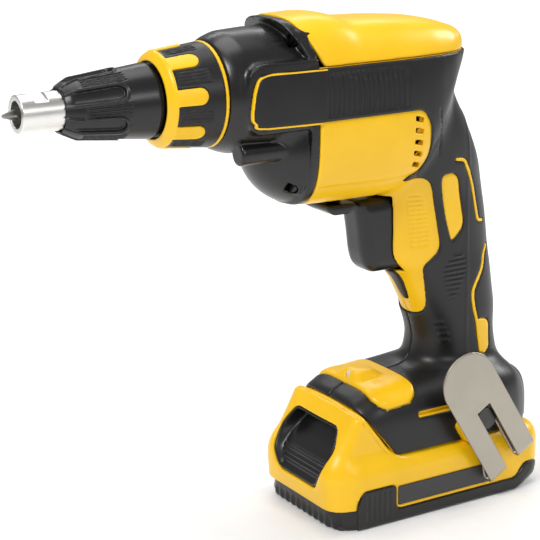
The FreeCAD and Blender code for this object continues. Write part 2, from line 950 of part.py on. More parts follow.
def make_housing():
    ribs = fuse("housing_ribs", *motor_webs(), *screw_bosses())
    cavity = cut("housing_cavity", hollow_form, ribs)
    shell = cut("housing_shell", outer_form, cavity)
    whole = fuse("housing_whole", shell, hook_boss("hook_boss_left", 1), hook_boss("hook_boss_right", -1))
    block_room = box("terminal_block_room",
                     (S.block_rear - S.part_gap, S.block_rear + S.block_length + S.part_gap),
                     (-S.block_width / 2 - S.part_gap, S.block_width / 2 + S.part_gap),
                     (S.foot_base, S.foot_deck + S.block_flange))
    motor_room = fuse(
        "motor_room",
        rod("stator_seat", "X", S.stator_radius + S.seat_gap,
            (S.fan_rear + S.fan_depth, S.case_joint), motor_line),
        rod("fan_room", "X", S.fan_radius + S.part_gap,
            (S.fan_rear - S.part_gap, S.stator_rear), motor_line),
        rod("rear_bearing_seat", "X", S.rear_bearing_radius + S.seat_gap,
            (S.rear_bearing_place, S.rear_bearing_place + S.rear_bearing_width), motor_line))
    small_holes = fuse("housing_small_holes", *vent_slots(), *screw_bores(),
                       hook_thread("hook_thread_left", 1), hook_thread("hook_thread_right", -1))
    trimmed = cut("housing_trimmed", whole, beyond_joint, above_seam, channel, tower_space, trigger_gate,
                  lever_slot, block_room, motor_room, small_holes)
    left = common("housing_left", trimmed, box("left_side", everywhere, (0, S.room), everywhere))
    right = common("housing_right", trimmed, box("right_side", everywhere, (-S.room, 0), everywhere))
    piece(left, "housing_left")
    piece(right, "housing_right")


def make_top_cap():
    arch = cut("top_cap_shell", body_outside, body_inside)
    below = box("below_seam", everywhere, everywhere, (-S.room, S.cap_seam))
    piece(cut("top_cap", arch, below, beyond_joint), "top_cap")


def make_grips():
    """Soft skin over the tail, the handle and the foot."""
    edge = [(S.drive_height * along, S.drive_height * up) for along, up in GRIP_EDGE_SHARES]
    region = slab("grip_region", edge, -S.room / 4, S.room / 4)
    area = common("grip_skin_area", grip_form, region)
    skin = cut("grip_skin_whole", area, body_outside, handle_outside, foot_outside)
    bosses = [rod(f"hook_boss_room_{index}", "Y", S.hook_boss_radius + S.part_gap, along,
                  (hook_boss_x, hook_boss_z))
              for index, along in enumerate(((0, S.room), (-S.room, 0)))]
    sinks = [rod(f"grip_sink_{index}", "Y", S.screw_head_radius + S.part_gap, (-S.room, 0), where)
             for index, where in enumerate(screw_places())]
    small_holes = fuse("grip_small_holes", *bosses, *sinks)
    skin = cut("grip_skin_trimmed", skin, channel, tower_space, trigger_gate,
               cover_room("cover_gap", cover_gap), above_seam, small_holes)
    for side, along in (("left", (0, S.room)), ("right", (-S.room, 0))):
        half = box(f"grip_side_{side}", everywhere, along, everywhere)
        piece(common(f"grip_{side}", skin, half), f"grip_{side}")


def make_side_bands():
    blank = slab("band_blank", (
        (S.band_rear + S.part_gap, S.band_low),
        (S.band_front, S.band_low),
        (S.band_front, S.band_high),
        (S.band_rear + S.part_gap, S.band_high),
    ), S.band_inner, S.band_outer)
    across = FreeCAD.Vector(0, 1, 0)
    middle = float(S.band_rear + S.band_front) / 2
    round_edges(blank, "band_corners", S.band_corner,
                lambda edge: is_along(edge, across) and edge.CenterOfMass.x > middle)
    case_room = rod("band_case_room", "X", S.case_radius, (S.case_joint, S.room), drive_line)
    for side, source in (("left", blank), ("right", mirrored("band_blank_right", blank))):
        piece(cut(f"side_band_{side}", source, body_outside, case_room), f"side_band_{side}")


# Gear case and what runs in it

def make_gear_case():
    shoulder = S.case_front - S.case_shoulder_length
    nose = S.case_front - S.case_nose_length
    spigot_front = S.case_front + S.spigot_length
    snout_front = spigot_front + S.snout_length
    face = S.case_front - S.case_face
    drum = turned("case_drum", (
        (S.cap_foot - S.cut_over, 0),
        (S.cap_foot - S.cut_over, S.case_radius),
        ((S.case_joint + S.case_front) / 2, S.case_radius),
        (shoulder, S.case_shoulder_radius),
        (nose, (S.case_shoulder_radius + 2 * S.case_nose_radius) / 3 + S.case_wall / 2),
        (S.case_front, S.case_nose_radius),
        (S.case_front, S.spigot_radius),
        (spigot_front, S.spigot_radius),
        (spigot_front, S.snout_radius),
        (snout_front, S.snout_radius),
        (snout_front, 0),
    ), drive_line)
    belly = doc.addObject("Part::Ellipsoid", "case_belly")
    bind(belly, "Radius1", S.belly_radius)
    bind(belly, "Radius2", S.belly_length)
    bind(belly, "Radius3", S.belly_radius)
    place(belly, S.belly_centre, 0, motor_height)
    cheeks = box("case_cheeks", (S.case_joint, S.band_front - S.case_wall), (-S.band_inner, S.band_inner),
                 (S.band_low, S.cap_seam))
    boss = rod("case_boss", "X", S.boss_radius, (S.case_joint, S.boss_front), motor_line)
    screw_posts = [rod(f"case_screw_post_{index}", "X", S.screw_boss_radius,
                       (S.case_joint, S.case_screw_front), where)
                   for index, where in enumerate(case_screw_places())]
    blank = fuse("case_blank", drum, belly, cheeks, boss, *screw_posts)
    gear_room = rod("case_gear_room", "X", S.case_radius - S.case_wall, (0, face), drive_line)
    spring_room = rod("case_spring_room", "X", S.spring_room_radius,
                      (face - S.cut_over, S.bush_rear - S.plate_thick), drive_line)
    bush_bore = rod("case_bush_bore", "X", S.bush_radius + S.seat_gap, (face, snout_front + S.cut_over),
                    drive_line)
    pinion_room = rod("case_pinion_room", "X", S.plate_boss_radius,
                      (0, S.pinion_rear + S.pinion_length + S.web), motor_line)
    screw_holes = [rod(f"case_screw_hole_{index}", "X", S.screw_radius + S.run_gap,
                       (0, S.case_screw_front + S.cut_over), where)
                   for index, where in enumerate(case_screw_places())]
    head_sinks = [rod(f"case_screw_sink_{index}", "X", S.screw_head_radius + S.part_gap,
                      (S.case_screw_front, S.case_front + S.cut_over), where)
                  for index, where in enumerate(case_screw_places())]
    behind = cut("case_behind", box("case_rear_half", (-S.room, S.room), everywhere, (0, S.room)),
                 cap_front("case_keep", S.room))
    piece(cut("gear_case", blank, behind, gear_room, spring_room, bush_bore, pinion_room,
              *screw_holes, *head_sinks), "gear_case")


def plate_ears(span):
    """Ears on the plate that take the upper screws of the gear case."""
    spread = float(S.case_screw_high_spread)
    rise = float(S.case_screw_rise)
    ears = []
    for index, side in enumerate((-1, 1)):
        turn = -side * math.degrees(math.atan2(spread, rise))
        ears.append(spoke(f"plate_arm_{index}", span, S.plate_arm_width / 2, S.plate_radius - S.plate_thick,
                          math.hypot(spread, rise), turn, drive_line))
        ears.append(rod(f"plate_ear_{index}", "X", S.plate_ear_radius, span,
                        (side * S.case_screw_high_spread, S.drive_height + S.case_screw_rise)))
    return ears


def make_gear_plate():
    """Plate that closes the gear case and carries the front bearing and the gear bush."""
    span = (S.case_joint - S.plate_thick, S.case_joint)
    low = rod("plate_low", "X", S.plate_radius, span, motor_line)
    high = rod("plate_high", "X", S.plate_radius, span, drive_line)
    waist = box("plate_waist", span, (-S.plate_radius, S.plate_radius), (motor_height, S.drive_height))
    bearing_span = (S.case_joint - S.plate_thick - S.bearing_width, S.case_joint - S.plate_thick)
    boss = rod("plate_boss", "X", S.plate_boss_radius, bearing_span, motor_line)
    blank = fuse("plate_blank", low, high, waist, boss, *plate_ears(span))
    bearing_hole = rod("plate_bearing_hole", "X", S.bearing_radius + S.seat_gap,
                       (bearing_span[0] - S.cut_over, bearing_span[1]), motor_line)
    pinion_hole = rod("plate_pinion_hole", "X", S.gear_hub_radius, (0, S.room), motor_line)
    bush_hole = rod("plate_bush_hole", "X", S.gear_bush_radius + S.seat_gap, (0, S.room), drive_line)
    screw_holes = [rod(f"plate_screw_hole_{index}", "X", S.screw_radius + S.run_gap, (0, S.room), where)
                   for index, where in enumerate(case_screw_places())]
    underside = box("plate_underside", (0, S.room), everywhere, (0, motor_height - S.plate_flat))
    piece(cut("gear_plate", blank, bearing_hole, pinion_hole, bush_hole, underside, *screw_holes),
          "gear_plate")
    piece(ring("front_motor_bearing", "X", S.bearing_radius, S.shaft_radius + S.run_gap,
               bearing_span, motor_line), "front_motor_bearing")
    piece(ring("gear_bush", "X", S.gear_bush_radius, S.gear_hub_radius + S.run_gap,
               span, drive_line), "gear_bush")


def gear_outline(teeth, shift, start, height):
    """Outline of a spur gear across X, with short teeth and some play."""
    module = float(S.gear_module)
    pitch = module * teeth / 2
    base = pitch * math.cos(PRESSURE_ANGLE)
    top = pitch + module * TOOTH_TOP_SHARE
    root = pitch - module * TOOTH_ROOT_SHARE
    half_pitch = (math.pi * module / 2 - float(S.tooth_gap)) / (2 * pitch)
    spread = math.tan(PRESSURE_ANGLE) - PRESSURE_ANGLE
    inner = max(base, root)
    flank = []
    for index in range(FLANK_POINTS):
        radius = inner + (top - inner) * index / (FLANK_POINTS - 1)
        roll = math.acos(min(1.0, base / radius))
        flank.append((radius, half_pitch + spread - (math.tan(roll) - roll)))
    corners = []
    for tooth in range(teeth):
        middle = 2 * math.pi * (tooth + shift) / teeth
        side = [(root, flank[0][1])] + flank
        corners += [(radius, middle - turn) for radius, turn in side]
        corners += [(radius, middle + turn) for radius, turn in reversed(side)]
    points = [FreeCAD.Vector(start, radius * math.sin(turn), height + radius * math.cos(turn))
              for radius, turn in corners]
    distinct = [point for index, point in enumerate(points)
                if point.distanceToPoint(points[index - 1]) > SAME]
    return Part.makePolygon(distinct + [distinct[0]])


def gear_blank(name, teeth, shift, along, line):
    start = float(along[0])
    face = Part.Face(gear_outline(teeth, shift, start, float(line[1])))
    return made(name, face.extrude(FreeCAD.Vector(float(along[1]) - start, 0, 0)))


def jaws(name, along, shift):
    """Clutch teeth in a ring, the first of them a share of the pitch round from the top."""
    return [spoke(f"{name}_{index}", along, S.jaw_width / 2, S.jaw_inner, S.jaw_outer,
                  360 * (index + shift) / JAWS, drive_line)
            for index in range(JAWS)]


def make_gears():
    rear = S.case_joint - S.plate_thick
    front = S.gear_rear + S.gear_width
    teeth = gear_blank("drive_gear_teeth", GEAR_TEETH, 0.0, (S.gear_rear, front), drive_line)
    hub = rod("drive_gear_hub", "X", S.gear_hub_radius, (rear, S.gear_rear), drive_line)
    bore = rod("drive_gear_bore", "X", S.spindle_thin_radius + S.run_gap, (0, S.room), drive_line)
    whole = fuse("drive_gear_blank", teeth, hub, *jaws("gear_jaw", (front, front + S.jaw_length), 0))
    piece(cut("drive_gear", whole, bore), "drive_gear")
    pinion = gear_blank("motor_pinion_teeth", PINION_TEETH, 0.5,
                        (S.pinion_rear, S.pinion_rear + S.pinion_length), motor_line)
    hole = rod("motor_pinion_hole", "X", S.shaft_thin_radius + S.seat_gap, (0, S.room), motor_line)
    piece(cut("motor_pinion", pinion, hole), "motor_pinion")


def make_spindle():
    flange_front = S.spindle_flange_rear + S.spindle_flange
    shaft = turned("spindle_shaft", (
        (S.spindle_rear, 0),
        (S.spindle_rear, S.spindle_thin_radius),
        (S.spindle_flange_rear, S.spindle_thin_radius),
        (S.spindle_flange_rear, S.jaw_outer),
        (flange_front, S.jaw_outer),
        (flange_front, S.spindle_radius),
        (S.spindle_front, S.spindle_radius),
        (S.spindle_front, 0),
    ), drive_line)
    jaw_span = (S.spindle_flange_rear - S.jaw_length, S.spindle_flange_rear)
    whole = fuse("spindle_blank", shaft, *jaws("spindle_jaw", jaw_span, JAW_SHIFT_SHARE))
    socket = hexagon("spindle_socket", S.bit_across + 2 * S.seat_gap,
                     (S.spindle_front - S.spindle_socket_depth, S.spindle_front + S.cut_over))
    piece(cut("spindle", whole, socket), "spindle")
    piece(ring("spindle_bush", "X", S.bush_radius, S.spindle_radius + S.run_gap,
               (S.bush_rear, S.bush_rear + S.bush_length), drive_line), "spindle_bush")
    gear_front = S.gear_rear + S.gear_width
    spring("clutch_spring", S.clutch_spring_radius, S.clutch_wire, S.clutch_pitch,
           (gear_front, S.spindle_flange_rear), drive_line)


def make_bit():
    tang_rear = S.spindle_front - S.spindle_socket_depth
    tang = hexagon("holder_tang", S.bit_across, (tang_rear, S.spindle_front))
    sleeve = rod("holder_sleeve", "X", S.holder_radius, (S.spindle_front, S.holder_front), drive_line)
    socket = hexagon("holder_socket", S.bit_across + 2 * S.seat_gap,
                     (S.holder_front - S.holder_socket_depth, S.holder_front + S.cut_over))
    piece(cut("bit_holder", fuse("holder_blank", tang, sleeve), socket), "bit_holder")
    shank = hexagon("bit_shank", S.bit_across, (S.holder_front - S.holder_socket_depth, S.bit_neck_start))
    point = turned("bit_point", (
        (S.bit_neck_start, 0),
        (S.bit_neck_start, S.bit_neck_radius),
        (S.bit_cone_start, S.bit_neck_radius),
        (S.bit_tip, S.bit_tip_radius),
        (S.bit_tip, 0),
    ), drive_line)
    flutes = []
    for index in range(FLUTES):
        turn = 360 * index / FLUTES
        angle = math.radians(turn)
        flute = box(f"bit_flute_{index}", (S.bit_cone_start - S.bit_flute, S.bit_tip + S.cut_over),
                    (S.bit_web, S.bit_neck_radius * 2), (S.bit_web, S.bit_neck_radius * 2))
        flute.Placement = FreeCAD.Placement(FreeCAD.Vector(), FreeCAD.Rotation(FreeCAD.Vector(1, 0, 0), turn))
        place(flute, S.bit_cone_start - S.bit_flute, S.bit_web * (math.cos(angle) - math.sin(angle)),
              S.drive_height + S.bit_web * (math.sin(angle) + math.cos(angle)))
        flutes.append(flute)
    piece(fuse("screw_bit", shank, cut("bit_point_cut", point, *flutes)), "screw_bit")


# Motor

def make_motor():
    front = S.stator_rear + S.stator_length
    span = (S.stator_rear, front)
    shaft_rear = S.rear_bearing_place + S.seat_gap
    hoop = ring("stator_hoop", "X", S.stator_radius, S.stator_radius - S.stator_ring, span, motor_line)
    step = 360 / STATOR_TEETH
    teeth = [spoke(f"stator_tooth_{index}", span, S.tooth_width / 2, S.rotor_radius + S.air_gap,
                   S.stator_radius - S.stator_ring / 2, step * index, motor_line)
             for index in range(STATOR_TEETH)]
    piece(fuse("stator", hoop, *teeth), "stator")
    coils = [spoke(f"coil_{index}", (S.stator_rear - S.coil_overhang, front + S.coil_overhang),
                   S.coil_width / 2, S.coil_inner, S.coil_outer, step * (index + 0.5), motor_line)
             for index in range(STATOR_TEETH)]
    piece(fuse("stator_windings", *coils), "stator_windings")
    piece(ring("rotor_core", "X", S.rotor_radius, S.shaft_radius + S.seat_gap,
               span, motor_line), "rotor_core")
    shaft = turned("rotor_shaft", (
        (shaft_rear, 0),
        (shaft_rear, S.shaft_radius),
        (S.shaft_thin_start, S.shaft_radius),
        (S.shaft_thin_start, S.shaft_thin_radius),
        (S.pinion_rear + S.pinion_length, S.shaft_thin_radius),
        (S.pinion_rear + S.pinion_length, 0),
    ), motor_line)
    piece(shaft, "rotor_shaft")
    piece(ring("rear_motor_bearing", "X", S.rear_bearing_radius, S.shaft_radius + S.run_gap,
               (S.rear_bearing_place, S.rear_bearing_place + S.rear_bearing_width), motor_line),
          "rear_motor_bearing")
    make_fan()


def make_fan():
    fan_front = S.fan_rear + S.fan_depth
    disc = rod("fan_disc", "X", S.fan_radius, (fan_front - S.fan_plate, fan_front), motor_line)
    hub = rod("fan_hub", "X", S.fan_hub_radius, (S.fan_rear, fan_front), motor_line)
    blades = [spoke(f"fan_blade_{index}", (S.fan_rear, fan_front), S.fan_blade / 2,
                    S.fan_hub_radius - S.fan_plate, S.fan_radius - S.fan_blade,
                    360 * index / FAN_BLADES, motor_line)
              for index in range(FAN_BLADES)]
    bore = rod("fan_bore", "X", S.shaft_radius + S.seat_gap, (-S.room, S.room), motor_line)
    piece(cut("fan", fuse("fan_blank", disc, hub, *blades), bore), "fan")


# Nose

def collar_fingers(name, grow):
    """Yellow fingers that run back from the collar's front ring."""
    span = (S.collar_drum_front - S.finger_length - grow, S.collar_drum_front + S.collar_ring)
    return [spoke(f"{name}_{index}", span, S.finger_width / 2 + grow, S.collar_bore + S.collar_ring,
                  S.collar_rear_radius + S.cut_over, 360 * (index + 0.5) / FINGERS, drive_line)
            for index in range(FINGERS)]


def collar_drum(name, gap):
    rear = S.collar_rear + S.collar_ring + gap
    return turned(name, (
        (rear, S.collar_core_radius + gap),
        (rear, S.collar_rear_radius - gap),
        (S.collar_drum_front - gap, S.collar_drum_radius),
        (S.collar_drum_front - gap, S.collar_core_radius + gap),
    ), drive_line)


def make_lock_collar():
    spigot_front = S.case_front + S.spigot_length
    bore = S.spigot_radius + S.run_gap
    core = turned("collar_core", (
        (S.collar_rear, bore),
        (spigot_front + S.part_gap, bore),
        (spigot_front + S.part_gap, S.collar_bore),
        (S.collar_front, S.collar_bore),
        (S.collar_front, S.collar_face_radius),
        (S.collar_bevel_start, S.collar_bevel_radius),
        (S.collar_round_start, S.collar_round_radius),
        (S.collar_drum_front, S.collar_drum_radius),
        (S.collar_drum_front, S.collar_core_radius),
        (S.collar_rear + S.collar_ring, S.collar_core_radius),
        (S.collar_rear + S.collar_ring, S.collar_rear_radius),
        (S.collar_rear, S.collar_rear_radius),
    ), drive_line)
    fingers = common("collar_fingers", fuse("finger_blanks", *collar_fingers("finger", 0)),
                     collar_drum("finger_drum", 0))
    piece(fuse("lock_collar", core, fingers), "lock_collar")
    gaps = fuse("finger_gaps", *collar_fingers("finger_gap", S.seat_gap * 2))
    piece(cut("collar_grip", collar_drum("collar_grip_blank", S.seat_gap), gaps), "collar_grip")


def make_nose():
    snout_bore = S.snout_radius + S.run_gap
    snout_front = S.case_front + S.spigot_length + S.snout_length
    piece(turned("nose_adapter", (
        (S.adapter_rear, snout_bore),
        (S.adapter_rear, S.adapter_radius),
        (S.adapter_shoulder, S.adapter_radius),
        (S.adapter_shoulder, S.adapter_journal_radius),
        (S.adapter_journal_front, S.adapter_journal_radius),
        (S.adapter_journal_front, S.adapter_key_radius),
        (S.adapter_key_front, S.adapter_key_radius),
        (S.adapter_key_front, S.adapter_bit_bore),
        (S.adapter_step, S.adapter_bit_bore),
        (S.adapter_step, S.adapter_spindle_bore),
        (snout_front + S.part_gap, S.adapter_spindle_bore),
        (snout_front + S.part_gap, snout_bore),
    ), drive_line), "nose_adapter")
    journal = S.adapter_journal_radius + S.run_gap
    tip_fit = S.tip_rear_radius + S.run_gap
    piece(turned("depth_sleeve", (
        (S.sleeve_neck_rear, journal),
        (S.sleeve_neck_rear, S.sleeve_neck_radius),
        (S.sleeve_rear, S.sleeve_neck_radius),
        (S.sleeve_rear, S.sleeve_rear_radius),
        (S.sleeve_cone_front, S.sleeve_cone_radius),
        (S.sleeve_rim, S.sleeve_rim_radius),
        (S.sleeve_front, S.sleeve_front_radius),
        (S.sleeve_front, tip_fit),
        (S.sleeve_step, tip_fit),
        (S.sleeve_step, journal),
    ), drive_line), "depth_sleeve")
    key = S.adapter_key_radius + S.run_gap
    piece(turned("nose_tip", (
        (S.tip_tail, key),
        (S.tip_tail, S.tip_rear_radius),
        (S.tip_shoulder, S.tip_rear_radius),
        (S.tip_front, S.tip_front_radius),
        (S.tip_front, S.tip_bore),
        (S.tip_step, S.tip_bore),
        (S.tip_step, key),
    ), drive_line), "nose_tip")


# Trigger, switch and lever

def make_trigger():
    half = S.trigger_width / 2
    side = [(S.trigger_rear + S.trigger_reach * ahead, S.trigger_top - S.trigger_height * down)
            for ahead, down in TRIGGER_SIDE_SHARES]
    block = slab("trigger_block", side, -half, half)
    front = float(S.trigger_rear + S.trigger_reach * TRIGGER_SIDE_SHARES[4][0])
    edge_y = float(half)
    round_edges(block, "trigger_front", S.trigger_round,
                lambda edge: edge.CenterOfMass.x > front and abs(abs(edge.CenterOfMass.y) - edge_y) < SAME
                and abs(edge.Vertexes[0].Point.z - edge.Vertexes[-1].Point.z) > SAME)
    middle = S.trigger_top - S.trigger_height / 2
    spring_seat = S.trigger_rear + S.trigger_pocket
    pocket = rod("trigger_spring_room", "X", S.trigger_spring_radius + S.trigger_wire + S.part_gap,
                 (S.trigger_rear - S.cut_over, spring_seat), (0, middle))
    piece(cut("trigger", block, pocket), "trigger")
    rear = S.switch_front - S.switch_length
    piece(box("trigger_switch", (rear, S.switch_front), (-S.switch_width / 2, S.switch_width / 2),
              (S.switch_base, S.switch_base + S.switch_height)), "trigger_switch")
    spring("trigger_spring", S.trigger_spring_radius, S.trigger_wire, S.trigger_spring_pitch,
           (S.switch_front, spring_seat), (0, middle))


def make_lever():
    half = S.lever_width / 2
    bar = slab("lever_bar", (
        (S.lever_rear, S.lever_high),
        (S.lever_front, S.lever_high),
        (S.lever_front, S.lever_low + S.lever_chamfer),
        (S.lever_front - S.lever_chamfer, S.lever_low),
        (S.lever_rear + S.lever_chamfer, S.lever_low),
        (S.lever_rear, S.lever_low + S.lever_chamfer),
    ), -half, half)
    stem = box("lever_stem", (lever_middle - S.lever_stem_length / 2, lever_middle + S.lever_stem_length / 2),
               (-S.lever_stem_width / 2, S.lever_stem_width / 2), (S.lever_high, S.lever_stem_top))
    piece(fuse("reverse_lever", bar, stem), "reverse_lever")


# Foot fittings

def make_foot_fittings():
    skin = made("cover_form", foot_loft(float(S.cover_skin), float(S.foot_base)))
    hood = slab("cover_hood", (
        (S.hood_rear, S.foot_deck),
        (S.hood_front, S.foot_deck),
        (S.hood_front, S.hood_high - S.cover_skin),
        (S.hood_rear, S.hood_high),
    ), -S.hood_width / 2, S.hood_width / 2)
    panel = common("cover_skin_area", skin, cover_room("cover_space", 0))
    peak = common("cover_hood_area", hood, cover_room("hood_space", 0))
    whole = cut("cover_whole", fuse("cover_blank", panel, peak), outer_form)
    lens_along = (S.hood_front - S.lens_length, S.hood_front)
    lens_room = rod("lens_room", "X", S.lens_radius + S.seat_gap,
                    (lens_along[0], lens_along[1] + S.cut_over), (0, S.lens_height))
    piece(cut("foot_cover", whole, lens_room), "foot_cover")
    piece(rod("worklight_lens", "X", S.lens_radius, lens_along, (0, S.lens_height)), "worklight_lens")
    piece(box("control_module", (S.module_rear, S.module_rear + S.module_length),
              (-S.module_width / 2, S.module_width / 2),
              (S.foot_deck, S.foot_deck + S.module_height)), "control_module")
    make_terminal_block()


def contact_places():
    return [S.blade_pitch * (index - (CONTACTS - 1) / 2) for index in range(CONTACTS)]


def make_terminal_block():
    span = (S.block_rear, S.block_rear + S.block_length)
    core = box("block_core", span, (-S.block_width / 2, S.block_width / 2), (S.block_low, S.foot_deck))
    rim = box("block_rim", (span[0] - S.block_flange, span[1] + S.block_flange),
              (-S.block_width / 2 - S.block_flange, S.block_width / 2 + S.block_flange),
              (S.foot_deck, S.foot_deck + S.block_flange))
    blades = [box(f"block_blade_{index}", (span[0] + S.block_flange, span[1] - S.block_flange),
                  (middle - S.blade_thick / 2, middle + S.blade_thick / 2), (S.blade_low, S.block_low))
              for index, middle in enumerate(contact_places())]
    piece(fuse("terminal_block", core, rim, *blades), "terminal_block")


def make_belt_hook():
    """Bent strip with a slot, made upright and then leaned forwards."""
    half = S.hook_width / 2
    bend = (S.hook_outer - S.hook_inner) / 2
    middle = (S.hook_outer + S.hook_inner) / 2
    outer_span = (S.hook_outer - S.hook_sheet, S.hook_outer)
    inner_span = (S.hook_inner, S.hook_inner + S.hook_sheet)
    outer = box("hook_outer_leg", (-half, half), outer_span, (bend, S.hook_length - half))
    tip = rod("hook_tip", "Y", half, outer_span, (0, S.hook_length - half))
    inner = box("hook_inner_leg", (-half, half), inner_span, (bend, S.hook_leg))
    turn = cut("hook_bend",
               ring("hook_bend_ring", "X", bend, bend - S.hook_sheet, (-half, half), (middle, bend)),
               box("hook_bend_top", everywhere, (0, S.room), (bend, S.room)))
    slot = box("hook_slot", (-S.hook_slot_width / 2, S.hook_slot_width / 2), (0, S.room),
               (-S.cut_over, S.hook_slot_top))
    hook = cut("belt_hook", fuse("hook_blank", outer, tip, inner, turn), slot)
    hook.Placement = FreeCAD.Placement(FreeCAD.Vector(), FreeCAD.Rotation(FreeCAD.Vector(0, 1, 0), 1))
    bind(hook, "Placement.Rotation.Angle", S.hook_lean_angle)
    place(hook, S.hook_x, 0, S.hook_z)
    piece(hook, "belt_hook")
    under_head = S.hook_inner + S.hook_sheet
    shank = rod("hook_screw_shank", "Y", S.hook_screw_radius, (under_head - S.hook_screw_length, under_head),
                (hook_boss_x, hook_boss_z))
    head = rod("hook_screw_head", "Y", S.hook_head_radius, (under_head, under_head + S.hook_head),
               (hook_boss_x, hook_boss_z))
    piece(fuse("belt_hook_screw", shank, head), "belt_hook_screw")


def make_screws():
    housing = []
    for index, where in enumerate(screw_places()):
        shank = rod(f"housing_screw_shank_{index}", "Y", S.screw_radius, about(0, 2 * S.screw_reach), where)
        head = rod(f"housing_screw_head_{index}", "Y", S.screw_head_radius,
                   (-S.screw_reach - S.screw_head, -S.screw_reach), where)
        housing.append(fuse(f"housing_screw_{index}", shank, head))
    piece(fuse("housing_screws", *housing), "housing_screws")
    case = []
    for index, where in enumerate(case_screw_places()):
        shank = rod(f"case_screw_shank_{index}", "X", S.screw_radius,
                    (S.case_screw_front - S.case_screw_length, S.case_screw_front), where)
        head = rod(f"case_screw_head_{index}", "X", S.screw_head_radius,
                   (S.case_screw_front, S.case_screw_front + S.screw_head), where)
        case.append(fuse(f"case_screw_{index}", shank, head))
    piece(fuse("gear_case_screws", *case), "gear_case_screws")


# Pack

recess_depth = S.button_inset + S.button_thick + S.button_travel + S.button_room
pack_screw_span = (S.pack_floor, S.pack_split + S.pack_screw_length)
holder_reach = S.cell_pitch * CELLS / 2 + S.holder_end


def make_pack_shell():
    half_length = S.pack_length / 2
    half_width = S.pack_width / 2
    half_tower = S.tower_width / 2
    block = rounded_block("shell_block", (-half_length, half_length), (-half_width, half_width),
                          (S.pack_split, S.pack_deck), S.pack_corner)
    deck = float(S.pack_deck)
    round_edges(block, "shell_shoulders", S.pack_shoulder,
                lambda edge: abs(edge.BoundBox.ZMin - deck) < SAME and abs(edge.BoundBox.ZMax - deck) < SAME)
    tower = slab("shell_tower", (
        (S.tower_rear - S.pack_corner, S.pack_split),
        (S.tower_rear - S.pack_corner, S.pack_deck),
        (S.tower_rear, S.pack_deck),
        (S.tower_top_rear, S.tower_top),
        (S.tower_top_front, S.tower_top),
        (S.tower_front, S.tower_front_low),
        (S.tower_front, S.pack_split),
    ), -half_tower, half_tower)
    edge_y = float(half_tower)
    front = float(S.tower_top_front)
    round_edges(tower, "shell_tower_corners", S.tower_corner,
                lambda edge: abs(abs(edge.CenterOfMass.y) - edge_y) < SAME and edge.CenterOfMass.x > front
                and edge.CenterOfMass.z > float(S.tower_front_low))
    rail_span = (S.rail_rear, S.rail_front)
    stem = box("shell_rail_stem", rail_span, about(0, S.rail_stem_width), (S.pack_split, S.rail_top))
    head = box("shell_rail_head", rail_span, about(0, S.rail_head_width), (S.rail_groove, S.rail_top))
    hollow = rounded_block("shell_hollow", about(0, S.pack_length - 2 * S.pack_wall),
                           about(0, S.pack_width - 2 * S.pack_wall),
                           (S.pack_split - S.cut_over, S.pack_deck - S.pack_wall),
                           S.pack_corner - S.pack_wall)
    keep_side = S.recess_width / 2 + S.recess_wall
    keep = box("shell_front_keep", (recess_back(), half_length), (-keep_side, keep_side),
               (S.recess_low - S.recess_wall, S.tower_top))
    boss_span = (S.pack_split, S.pack_split + S.pack_boss_height)
    bosses = pack_screw_rods("shell_boss", S.screw_boss_radius, boss_span)
    contact_side = S.block_width / 2 + S.part_gap
    contact_room = box("shell_contact_room",
                       (S.rail_rear - S.cut_over, S.block_rear + S.block_length + S.part_gap),
                       (-contact_side, contact_side), (S.pack_deck, S.rail_top + S.cut_over))
    clip_window = box("shell_clip_window",
                      (S.clip_place - S.part_gap, S.clip_place + S.clip_length + S.part_gap),
                      (-contact_side, contact_side), (S.board_low, S.rail_top))
    recess = front_slab("shell_recess", -S.cut_over, recess_depth, 0)
    blank = fuse("shell_blank", block, tower, stem, head)
    labels = [box(f"shell_label_room_{index}", (S.label_rear - S.seat_gap, S.label_front + S.seat_gap), along,
                  (S.label_low - S.seat_gap, S.label_high + S.seat_gap))
              for index, along in enumerate(((half_width - S.label_thick, S.room),
                                             (-S.room, -half_width + S.label_thick)))]
    screw_holes = pack_screw_rods("shell_screw_hole", S.screw_radius + S.run_gap, pack_screw_span)
    piece(cut("pack_upper_shell", blank, cut("shell_room", hollow, keep, *bosses), contact_room, clip_window,
              recess, *labels, *screw_holes), "pack_upper_shell")


def slope_x(height):
    """Where the pack's sloping front lies at a height."""
    lean = (S.tower_front - S.tower_top_front) / (S.tower_top - S.tower_front_low)
    return S.tower_front - lean * (height - S.tower_front_low)


def recess_back():
    """Rear of the wall behind the release button's recess, under the deck."""
    return slope_x(S.pack_deck - S.pack_wall) - recess_depth - S.recess_wall


def front_slab(name, front, back, gap):
    """A slab along the pack's sloping front, between two depths behind it, clear of its sides by a gap."""
    low = S.recess_low + gap
    high = S.recess_high - gap
    half = S.recess_width / 2 - gap
    return slab(name, (
        (slope_x(low) - front, low),
        (slope_x(high) - front, high),
        (slope_x(high) - back, high),
        (slope_x(low) - back, low),
    ), -half, half)


def make_release_button():
    middle = (S.recess_low + S.recess_high) / 2
    outside = S.release_spring_radius + S.release_wire
    back = slope_x(middle) - S.button_inset - S.button_thick
    spring_seat = back + S.release_pocket
    block = front_slab("button_block", S.button_inset, S.button_inset + S.button_thick, S.part_gap)
    pocket = rod("release_spring_room", "X", outside + S.part_gap,
                 (back - S.cut_over, spring_seat), (0, middle))
    piece(cut("release_button", block, pocket), "release_button")
    spring_rear = slope_x(middle - outside) - recess_depth
    spring("release_spring", S.release_spring_radius, S.release_wire, S.release_spring_pitch,
           (spring_rear + S.seat_gap, spring_seat - S.seat_gap), (0, middle))


